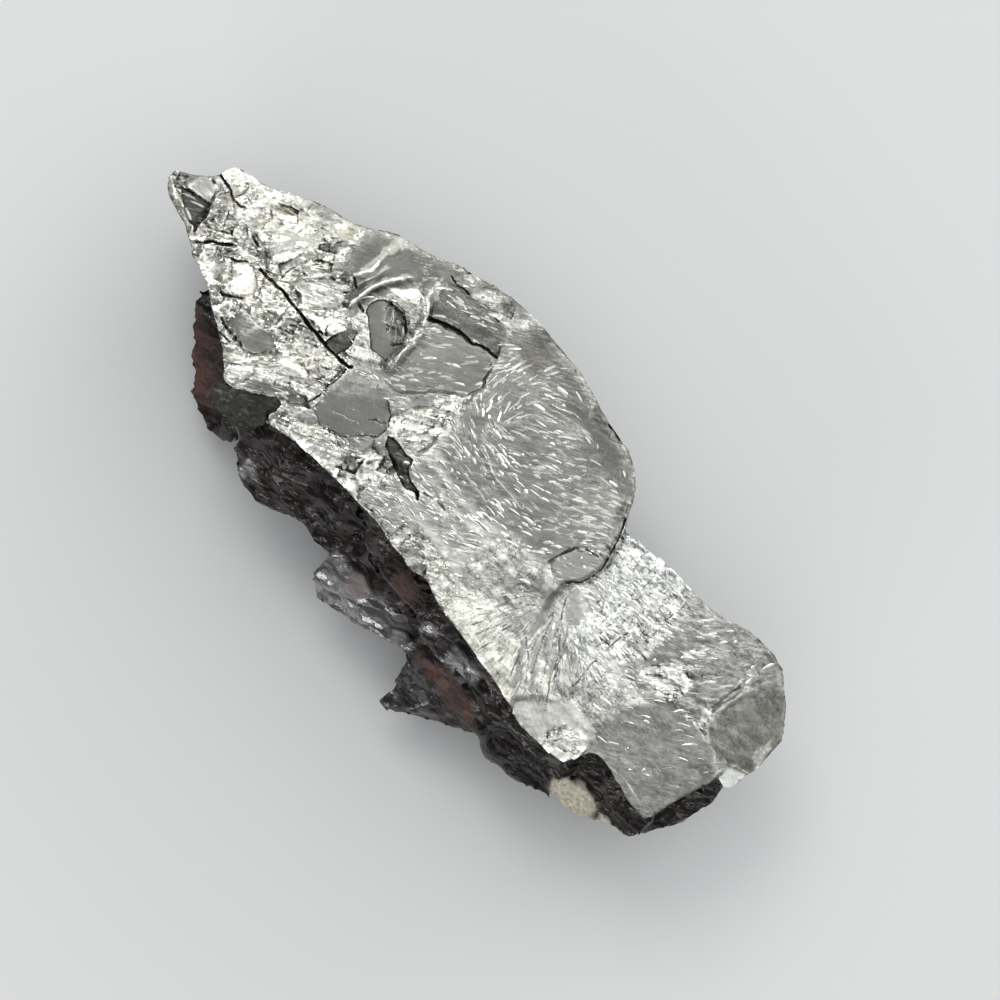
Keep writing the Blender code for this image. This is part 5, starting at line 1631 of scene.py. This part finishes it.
class StonePatterns:
    """The stored values and the patterns that the stone's finish is mixed from."""

    FLOW = 33.0     # the direction that the drawn-out patterns follow, in degrees from +X

    def __init__(self, tree: Finish) -> None:
        """Add the nodes; each pattern's numbers are how often it repeats in a mm along each axis.

        Args:
            tree: the material's tree.
        """
        self.tree = tree
        self.tone, self.polish, self.warm = map(tree.stored, ("tone", "polish", "warm"))
        self.grain, self.streak, self.craze = map(tree.stored, ("grain", "streak", "craze"))
        self.face, self.crack, self.glint = map(tree.stored, ("face", "crack", "glint"))
        # Curvature for painted highlight and painted shade; each chip's tone with painted lean
        # shade.
        self.ridge, self.pit, self.chip = map(tree.stored, ("ridge", "pit", "chip"))
        self.rust, self.cream, self.pale = map(tree.stored, ("rust", "cream", "pale"))
        self.fanned = tree.stored("fanned")
        place, fan = tree.place_mm(), tree.stored_vector("fan")
        sweep = tree.turned(place, self.FLOW)

        self.small = tree.cells(sweep, (1.5, 2.8, 2.0))
        self.fine = tree.cells(place, (5.5, 5.5, 5.5))
        self.blocks = tree.cells(place, (1.6, 4.0, 2.0))
        self.broken = tree.cells(sweep, (0.45, 0.9, 0.9))
        self.splits = tree.cells(sweep, (0.9, 2.6, 2.0))
        self.red_fine, self.red_blocks = tree.red(self.fine), tree.red(self.blocks)
        self.red_broken, self.red_splits = tree.red(self.broken), tree.red(self.splits)

        self.cloud = tree.noise(place, 0.6, 3.0)
        self.dust = tree.noise(place, 4.5, 4.0)
        self.patches = tree.noise(place, 0.9, 2.0)
        # Patches where the flank's lines are painted brighter, as highlights.
        self.lit = tree.noise(place, 0.33, 2.0).step(0.42, 0.6)
        self.swept = tree.drawn(sweep, (0.8, 5.0, 1.5), 4.0, 0.4)
        rayed = tree.drawn(fan, (0.7, 5.0, 0.5), 4.0, 0.4)
        self.fibres = self.swept + (rayed - self.swept) * self.fanned
        self.dashes = tree.drawn(place, (1.3, 4.2, 1.5), 2.0, 0.8)
        self.bars = tree.drawn(place, (3.2, 0.8, 1.5), 2.0, 0.5)
        self.rays = tree.drawn(fan, (0.5, 3.2, 0.5), 2.0, 0.6)
        self.stained = self.cream.most(self.rust)
        self.hatch = self.hatched()

    def hatched(self) -> Num:
        """Draw the hair cracks of the crazed ground.

        Returns:
            The hair cracks, crossed or along the fan's rays.
        """
        crossed = self.dashes.line(0.03).most(self.bars.line(0.02) * 0.8)
        fanning = self.rays.line(0.03).most(self.dashes.line(0.02) * 0.6)
        lines = crossed + (fanning - crossed) * self.fanned
        return lines * self.patches.step(0.36, 0.54) * self.craze


@dataclass(frozen=True)
class StoneFinish:
    """The finish of the whole stone: bright metal on the face, near-black on the flank.

    The tilts are how far the normal leans from cell to cell, the shares how much metal there is
    on the face and on the flank, and bump_depth is in metres.
    """

    name: str = "shungite_lustre"
    grain_tilt: float = 0.5
    fine_tilt: float = 0.25
    least_tilt: float = 0.02
    craze_tilt: float = 0.6
    flank_tilt: float = 0.6
    face_metal: float = 0.97
    flank_metal: float = 0.8
    bump_depth: float = 0.00005

    @staticmethod
    def light(on: StonePatterns) -> Num:
        """Return how bright the face is.

        Args:
            on: the stone's patterns.

        Returns:
            The brightness, from 0 to 1.
        """
        grain, craze = on.grain, on.craze
        # Broad clouds, painted light and shade on fine ridges, chip tone with painted lean shade.
        vary = on.cloud.swing() * (0.4 + craze * 0.6 - grain * 0.2)
        vary = vary + on.fibres.swing() * 1.4 * on.streak + on.chip * (0.1 + grain * 0.5)
        # On crumbly ground: specks, painted flashes on bright chips and painted shade on dark ones.
        flash, gloom = on.chip.step(0.26, 0.36), 1.0 - on.chip.step(-0.42, -0.32)
        vary = vary + on.red_fine.swing() * grain * 0.5 + (flash * 0.6 - gloom * 0.35) * grain
        # On crazed ground: small blocks. Everywhere: dust and hair cracks.
        vary = vary + (on.red_blocks.swing() * 1.0 + on.red_fine.swing() * 0.35) * craze
        # Painted highlight on crests and painted shade in dips, from the skin's curvature.
        vary = vary + on.dust.swing() * (0.5 + grain * 0.6) + on.ridge * 0.6
        vary = vary - on.pit * (0.3 + grain * 0.5) - on.hatch * 0.6
        light = (on.tone * (vary + 1.0)).clamp()
        # Painted highlights: glints along the brightest fine ridges, then the glint lines.
        light = light + on.fibres.step(0.6, 0.72) * on.streak * (on.tone * 0.5 + 0.12)
        return light.most(on.glint * (0.45 + on.dust * 0.6)).clamp()

    def metal(self, on: StonePatterns) -> Socket:
        """Return the face's colour.

        Args:
            on: the stone's patterns.

        Returns:
            The colour, with the cracks dark.
        """
        blend, warmth = on.tree.blend, (on.warm + on.cloud.swing() * 0.5).clamp()
        colour = blend(warmth, Shade.FACE_BRIGHT, Shade.FACE_WARM)
        colour = blend(self.light(on), Shade.FACE_DARK, colour)
        return blend(on.crack, colour, Shade.CRACK)

    @staticmethod
    def flank(on: StonePatterns) -> Socket:
        """Return the flank's colour.

        Args:
            on: the stone's patterns.

        Returns:
            The colour: lines with painted highlights, pale ledges, rust and cream crust.
        """
        blend, splits, dust = on.tree.blend, on.red_splits, on.dust
        # Pale striae lines, painted brighter as highlights in lit patches and on ridges.
        lines = on.swept.step(0.6, 0.75) * on.patches.step(0.45, 0.6) * 0.35
        lines = (lines + splits.step(0.6, 1.0) * 0.45) * (on.lit * 0.8 + 0.2)
        lines = lines + on.red_broken.step(0.7, 1.0) * 0.15 + on.ridge * 0.2
        colour = blend(lines.clamp(), Shade.FLANK_DARK, Shade.FLANK_LINE_SHEEN)
        colour = blend(on.pale * (0.3 + splits.step(0.1, 0.8) * 0.6), colour, Shade.PALE)
        stain = 0.1 + splits.step(0.25, 0.8) * 0.4 + dust.step(0.45, 0.7) * 0.4
        colour = blend(on.rust * stain, colour, Shade.RUST)
        colour = blend(on.rust * dust.step(0.56, 0.7) * 0.4, colour, Shade.EMBER)
        crust = blend(on.red_fine * 0.6 + dust * 0.3, Shade.CREAM_DARK, Shade.CREAM_BRIGHT)
        return blend(on.cream * dust.step(0.25, 0.4), colour, crust)

    def normal(self, on: StonePatterns) -> Socket:
        """Return the normal, leaning from cell to cell and with a fine bump.

        Args:
            on: the stone's patterns.

        Returns:
            The normal.
        """
        grain, craze, tree, flank = on.grain, on.craze, on.tree, 1.0 - on.face
        normal = tree.add("ShaderNodeNewGeometry", {}, {}).outputs["Normal"]
        crazed = craze * self.craze_tilt * 0.5
        normal = tree.tilted(normal, on.small, grain * self.grain_tilt + crazed)
        normal = tree.tilted(normal, on.fine, grain * self.fine_tilt + crazed + self.least_tilt)
        normal = tree.tilted(normal, on.broken, flank * self.flank_tilt)
        normal = tree.tilted(normal, on.splits, flank * self.flank_tilt * 0.6)
        height = on.fibres * (0.2 + on.streak * 1.2) + on.dust * (0.2 + grain * 0.8)
        height = (height - on.hatch * 0.8) * on.face + flank * (on.swept * 0.15 + on.dust * 0.2)
        bump = {"Strength": 1.0, "Distance": self.bump_depth, "Height": height, "Normal": normal}
        return tree.add("ShaderNodeBump", {}, bump).outputs[0]

    def build(self) -> Material:
        """Mix the finish.

        Returns:
            The material.
        """
        tree = Finish(self.name)
        on = StonePatterns(tree)
        face, flank, grit = on.face, 1.0 - on.face, on.dust.swing() * 0.1
        rough = 0.46 - on.polish * 0.34 + grit + on.crack * 0.4
        flank_rough = 0.2 + grit + on.stained * 0.4
        metallic = face * (1.0 - on.crack) * self.face_metal
        metallic = metallic + flank * (1.0 - on.stained) * self.flank_metal
        return tree.shade(base_color=tree.blend(face, self.flank(on), self.metal(on)),
                          metallic=metallic.clamp(), normal=self.normal(on),
                          roughness=(flank_rough + (rough - flank_rough) * face).clamp())


@dataclass(frozen=True)
class FlakeFinish:
    """The finish of the small pieces that are set on the stone.

    by_tone is how much of a piece's brightness follows the ground that it stands on; the rest is
    its own. mottle is how much it varies over a piece, with mottle_per_mm spots in a mm.
    """

    name: str
    dark: Shade
    bright: Shade
    metallic: float
    roughness: float
    by_tone: float = 0.6
    mottle: float = 0.3
    mottle_per_mm: float = 6.0

    def build(self) -> Material:
        """Mix the finish.

        Returns:
            The material.
        """
        tree = Finish(self.name)
        spark, tone = tree.stored("spark"), tree.stored("tone")
        spots = tree.noise(tree.place_mm(), self.mottle_per_mm, 2.0).swing() * self.mottle
        light = spark * (1.0 - self.by_tone) + tone * self.by_tone + spots
        return tree.shade(base_color=tree.blend(light.clamp(), self.dark, self.bright),
                          metallic=self.metallic, roughness=self.roughness)


@dataclass(frozen=True)
class FloorFinish:
    """The plain pale floor."""

    name: str = "pale_floor"
    colour: Colour = (0.72, 0.72, 0.715, 1.0)
    roughness: float = 0.8

    def build(self) -> Material:
        """Return the material."""
        return Finish(self.name).shade(base_color=self.colour, roughness=self.roughness)


# ---------------- small pieces set on the skin


class Piece(Enum):
    """The shapes that are scattered, each 1 long, 1 wide and 1 high."""

    HACKLE = "hackle"
    CRUMB = "crumb"

    def mesh(self) -> bpy.types.Mesh:
        """Return the shape."""
        return self.hackle() if self is Piece.HACKLE else self.crumb()

    @staticmethod
    def hackle() -> bpy.types.Mesh:
        """Build a low bent ridge along X, pointed at both ends, with its foot below the surface.

        Returns:
            The ridge.
        """
        foot, end, bow, crest = -0.4, -0.1, 0.25, 0.12
        corners = [(-0.5, end, foot)]
        for along in (-0.26, 0.02, 0.28):
            roundness = 1.0 - (2.0 * along) ** 2
            full, bend = math.sqrt(roundness), bow * roundness + end
            corners += [(along, bend - 0.5 * full, foot), (along, bend + crest * full, full),
                        (along, bend + 0.5 * full, foot)]
        corners.append((0.5, end, foot))
        faces = [(0, 1, 2), (0, 2, 3), (0, 3, 1), (10, 8, 7), (10, 9, 8), (10, 7, 9)]
        for start in (1, 4):
            for near in range(3):
                far = (near + 1) % 3
                faces.append((start + near, start + near + 3, start + far + 3, start + far))
        mesh = bpy.data.meshes.new("hackle")
        mesh.from_pydata(corners, [], faces)
        return mesh

    @staticmethod
    def crumb() -> bpy.types.Mesh:
        """Build an angular pebble.

        Returns:
            The pebble, half sunk.
        """
        seed, raggedness = 99, 0.16
        shape = bmesh.new()
        bmesh.ops.create_icosphere(shape, subdivisions=1, radius=0.5)
        for corner in shape.verts:
            column = np.array([corner.index])
            shift = [float(lattice(column, np.array([k]), seed)[0]) for k in range(3)]
            corner.co += Vector(shift) * raggedness
        mesh = bpy.data.meshes.new("crumb")
        shape.to_mesh(mesh)
        shape.free()
        return mesh


@dataclass(frozen=True)
class Scatter:
    """Small pieces set on the skin by a Geometry Nodes tree.

    density is in pieces for each mm2 and is multiplied by the skin's stored field; least and most
    are the pieces' length, width and height in mm; twist is how far a piece may turn from the
    flow, in degrees. Each corner of a piece lies at its own height above the skin: above is where
    the drop to the skin starts and drop how far it goes, in metres.
    """

    name: str
    piece: Piece
    finish: FlakeFinish
    stored_field: str
    density: float
    least: Triple
    most: Triple
    twist: float
    seed: int
    above: float = 0.03
    drop: float = 0.05

    INPUTS = {"Skin": "NodeSocketGeometry", "Piece": "NodeSocketObject",
              "Finish": "NodeSocketMaterial", "Density": "NodeSocketFloat",
              "Least size": "NodeSocketVector", "Most size": "NodeSocketVector",
              "Twist": "NodeSocketFloat", "Seed": "NodeSocketInt"}
    SPARK_SEED, TWIST_SEED, SIZE_SEED = 3, 5, 7

    @staticmethod
    def stored(tree: Tree, name: str, kind: str = "FLOAT") -> Socket:
        """Return a value stored on the mesh."""
        settings = {"data_type": kind}
        return tree.add("GeometryNodeInputNamedAttribute", settings, {"Name": name}).outputs[0]

    @staticmethod
    def keep(tree: Tree, pieces: Socket, name: str, value: "Num | Socket") -> Socket:
        """Return the pieces with a number stored on them."""
        return tree.add("GeometryNodeStoreNamedAttribute", {"data_type": "FLOAT"}, {
            "Geometry": pieces, "Name": name, "Value": value}).outputs[0]

    @staticmethod
    def parts(tree: Tree, place: Socket) -> list[Num]:
        """Return the three parts of a place."""
        node = tree.add("ShaderNodeSeparateXYZ", {}, {0: place})
        return [Num(tree, part) for part in node.outputs]

    def turns(self, tree: Tree, most: Socket) -> Socket:
        """Turn each piece along the flow.

        Args:
            tree: the tree to add to.
            most: how far a piece may twist from the flow, in radians.

        Returns:
            The turn of each piece.
        """
        way = self.stored(tree, "way", "FLOAT_VECTOR")
        axes = {"axis": "X", "pivot_axis": "Z"}
        along = tree.add("FunctionNodeAlignRotationToVector", axes, {"Vector": way}).outputs[0]
        angle = tree.add("FunctionNodeRandomValue", {"data_type": "FLOAT"}, {
            2: Num(tree, most) * -1.0, 3: most, "Seed": self.TWIST_SEED}).outputs[1]
        twist = tree.add("FunctionNodeAxisAngleToRotation", {}, {"Angle": angle}).outputs[0]
        space = {"rotation_space": "LOCAL"}
        return tree.add("FunctionNodeRotateRotation", space, {0: along, 1: twist}).outputs[0]

    def tree(self) -> tuple[bpy.types.NodeTree, dict[str, str]]:
        """Build the Geometry Nodes tree.

        Returns:
            The tree, and the identifier of each of its inputs by its name.
        """
        group = bpy.data.node_groups.new(self.name, "GeometryNodeTree")
        new_socket = group.interface.new_socket
        ids = {name: new_socket(name, in_out="INPUT", socket_type=kind).identifier
               for name, kind in self.INPUTS.items()}
        new_socket("Pieces", in_out="OUTPUT", socket_type="NodeSocketGeometry")
        tree = Tree(group)
        given = tree.add("NodeGroupInput", {}, {}).outputs
        wanted = Num(tree, self.stored(tree, self.stored_field))
        points = tree.add("GeometryNodeDistributePointsOnFaces", {}, {
            "Mesh": given["Skin"], "Seed": given["Seed"],
            "Density": wanted * Num(tree, given["Density"])}).outputs["Points"]
        place = tree.add("GeometryNodeInputPosition", {}, {}).outputs[0]
        points = self.keep(tree, points, "base", self.parts(tree, place)[2])
        spark = tree.add("FunctionNodeRandomValue", {"data_type": "FLOAT"}, {
            "Seed": self.SPARK_SEED}).outputs[1]
        points = self.keep(tree, points, "spark", spark)
        size = tree.add("FunctionNodeRandomValue", {"data_type": "FLOAT_VECTOR"}, {
            0: given["Least size"], 1: given["Most size"], "Seed": self.SIZE_SEED}).outputs[0]
        piece = tree.add("GeometryNodeObjectInfo", {}, {"Object": given["Piece"]})
        placed = tree.add("GeometryNodeInstanceOnPoints", {}, {
            "Points": points, "Instance": piece.outputs["Geometry"],
            "Rotation": self.turns(tree, given["Twist"]), "Scale": size}).outputs[0]
        real = tree.add("GeometryNodeRealizeInstances", {}, {"Geometry": placed}).outputs[0]
        laid = self.drape(tree, real, given["Skin"])
        dressed = tree.add("GeometryNodeSetMaterial", {}, {
            "Geometry": laid, "Material": given["Finish"]}).outputs[0]
        tree.add("NodeGroupOutput", {}, {"Pieces": dressed})
        return group, ids

    def drape(self, tree: Tree, pieces: Socket, skin: Socket) -> Socket:
        """Lay each corner of the pieces at its own height above the skin.

        Args:
            tree: the tree to add to.
            pieces: the pieces.
            skin: the skin.

        Returns:
            The draped pieces.
        """
        x, y, z = self.parts(tree, tree.add("GeometryNodeInputPosition", {}, {}).outputs[0])
        above = tree.add("ShaderNodeCombineXYZ", {}, {0: x, 1: y, 2: self.above}).outputs[0]
        ray = tree.add("GeometryNodeRaycast", {}, {
            "Target Geometry": skin, "Source Position": above,
            "Ray Direction": (0.0, 0.0, -1.0), "Ray Length": self.drop}).outputs
        base = Num(tree, self.stored(tree, "base"))
        height = self.parts(tree, ray["Hit Position"])[2] + z - base
        there = tree.add("ShaderNodeCombineXYZ", {}, {0: x, 1: y, 2: height}).outputs[0]
        return tree.add("GeometryNodeSetPosition", {}, {
            "Geometry": pieces, "Selection": ray["Is Hit"], "Position": there}).outputs[0]

    def build(self, skin: Object) -> Object:
        """Scatter and dress the pieces.

        Args:
            skin: the finished skin.

        Returns:
            The object that holds all of the pieces as one plain mesh.
        """
        shape = bpy.data.objects.new(self.name + "_shape", self.piece.mesh())
        scattered = bpy.data.objects.new(self.name, skin.data.copy())
        for item in (shape, scattered):
            bpy.context.scene.collection.objects.link(item)
        group, ids = self.tree()
        modifier = scattered.modifiers.new("scatter", "NODES")
        modifier.node_group = group
        values = {"Piece": shape, "Finish": self.finish.build(), "Density": self.density / MM ** 2,
                  "Least size": [part * MM for part in self.least],
                  "Most size": [part * MM for part in self.most],
                  "Twist": math.radians(self.twist), "Seed": self.seed}
        for name, value in values.items():
            modifier[ids[name]] = value
        mesh = plain_mesh(scattered)
        scattered.modifiers.remove(modifier)
        scattered.data = mesh
        bpy.data.objects.remove(shape)
        return scattered


HACKLE_LUSTRE = FlakeFinish("hackle_lustre", Shade.HACKLE_DARK, Shade.HACKLE_BRIGHT,
                            metallic=1.0, roughness=0.2, by_tone=0.3)
CRUMB_LUSTRE = FlakeFinish("crumb_lustre", Shade.FACE_DARK, Shade.FACE_WARM,
                           metallic=1.0, roughness=0.25, by_tone=0.5)
HACKLES = Scatter("hackles", Piece.HACKLE, HACKLE_LUSTRE, stored_field="hackles", density=9.0,
                  least=(0.22, 0.08, 0.02), most=(1.25, 0.25, 0.055), twist=12.0, seed=11)
CRUMBS = Scatter("crumbs", Piece.CRUMB, CRUMB_LUSTRE, stored_field="crumbs", density=6.0,
                 least=(0.16, 0.12, 0.06), most=(0.55, 0.3, 0.16), twist=30.0, seed=12)


# ---------------- studio


@dataclass(frozen=True)
class Softbox:
    """A soft rectangular light.

    way is the direction from the stone to it, away how far off it hangs and size its width and
    height, in metres, and power is in watts.
    """

    name: str
    way: Triple
    away: float
    size: tuple[float, float]
    power: float
    colour: Triple

    def hang(self, aim: Triple) -> None:
        """Hang the light.

        Args:
            aim: the place that it shines on.
        """
        light = bpy.data.lights.new(self.name, "AREA")
        light.shape = "RECTANGLE"
        light.size, light.size_y = self.size
        light.energy = self.power
        light.color = self.colour
        lamp = bpy.data.objects.new(self.name, light)
        direction = Vector(self.way).normalized()
        lamp.location = Vector(aim) + direction * self.away
        lamp.rotation_euler = direction.to_track_quat("Z", "Y").to_euler()
        bpy.context.scene.collection.objects.link(lamp)


SOFTBOXES = (
    Softbox("window", (-0.5, 0.33, 0.8), 0.7, (0.3, 0.3), 1.1, (1.0, 1.0, 0.98)),
    Softbox("rim_light", (-0.04, 0.92, 0.38), 0.7, (0.5, 0.16), 0.7, (1.0, 0.99, 0.97)),
    Softbox("low_fill", (0.25, -0.85, 0.42), 0.6, (0.4, 0.12), 0.5, (0.95, 0.97, 1.0)),
)


@dataclass(frozen=True)
class Studio:
    """The floor, the lights and the camera, with sizes in metres.

    The camera looks straight down at aim from distance, with image_up at the top of its view,
    view_width wide there. The sky is brightest toward sky_way and fades over the span sky_fade.
    """

    aim: Triple = (0.00284, 0.00251, 0.011)
    image_up: Triple = (-0.743, 0.669, 0.0)
    distance: float = 0.42
    view_width: float = 0.0600
    sensor: float = 36.0
    clip: Span = (0.01, 10.0)
    floor_size: float = 1.4
    sky_colour: Colour = (0.96, 0.98, 1.0, 1.0)
    sky_way: Triple = (0.05, 0.5, 0.86)
    sky_fade: Span = (0.15, 1.0)
    sky_bright: float = 1.2
    sky_dim: float = 0.22
    softboxes: tuple[Softbox, ...] = SOFTBOXES

    def floor(self) -> Object:
        """Lay the floor.

        Returns:
            The floor.
        """
        shape = bmesh.new()
        bmesh.ops.create_grid(shape, x_segments=2, y_segments=2, size=self.floor_size / 2)
        mesh = bpy.data.meshes.new("floor")
        shape.to_mesh(mesh)
        shape.free()
        mesh.materials.append(FloorFinish().build())
        floor = bpy.data.objects.new("floor", mesh)
        bpy.context.scene.collection.objects.link(floor)
        return floor

    def lights(self) -> None:
        """Hang the lights and set the sky, which is brighter on one side."""
        for softbox in self.softboxes:
            softbox.hang(self.aim)
        world = bpy.data.worlds.new("studio")
        world.use_nodes = True
        tree = Tree(world.node_tree)
        sky = tree.add("ShaderNodeTexCoord", {}, {}).outputs["Generated"]
        toward = tree.number("ShaderNodeVectorMath", {"operation": "DOT_PRODUCT"}, {
            0: sky, 1: Vector(self.sky_way).normalized()}, "Value")
        strength = toward.step(*self.sky_fade) * (self.sky_bright - self.sky_dim) + self.sky_dim
        shader = world.node_tree.nodes["Background"]
        tree.feed(shader.inputs["Color"], self.sky_colour)
        tree.feed(shader.inputs["Strength"], strength)
        bpy.context.scene.world = world
        bpy.context.scene.view_settings.view_transform = "Standard"

    def camera(self) -> None:
        """Place the camera straight above the stone."""
        lens = bpy.data.cameras.new("camera")
        lens.sensor_width = self.sensor
        lens.lens = self.sensor * self.distance / self.view_width
        lens.clip_start, lens.clip_end = self.clip
        camera = bpy.data.objects.new("camera", lens)
        up = Vector(self.image_up).normalized()
        back = Vector((0.0, 0.0, 1.0))
        right = up.cross(back)
        turn = Matrix((right, up, back)).transposed().to_4x4()
        camera.matrix_world = Matrix.Translation(Vector(self.aim) + back * self.distance) @ turn
        bpy.context.scene.collection.objects.link(camera)
        bpy.context.scene.camera = camera

    def build(self) -> None:
        """Set the studio up."""
        self.floor()
        self.lights()
        self.camera()


def declare(piece: Object, replaces: Iterable[str] = ()) -> None:
    """Tie a piece to the stone's body and log it.

    Args:
        piece: the finished piece.
        replaces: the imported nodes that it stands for.
    """
    for node in replaces:
        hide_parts(node)
    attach(piece, "root")
    LOG.info("%s: %d faces", piece.name, len(piece.data.polygons))


def main() -> None:
    """Build the stone and its studio."""
    logging.basicConfig(level=logging.INFO, format="%(name)s %(message)s")
    stone = Skin().build()
    declare(stone, replaces=[NODE])
    for scatter in (HACKLES, CRUMBS):
        declare(scatter.build(stone))
    Studio().build()


if __name__ == "__main__":
    main()
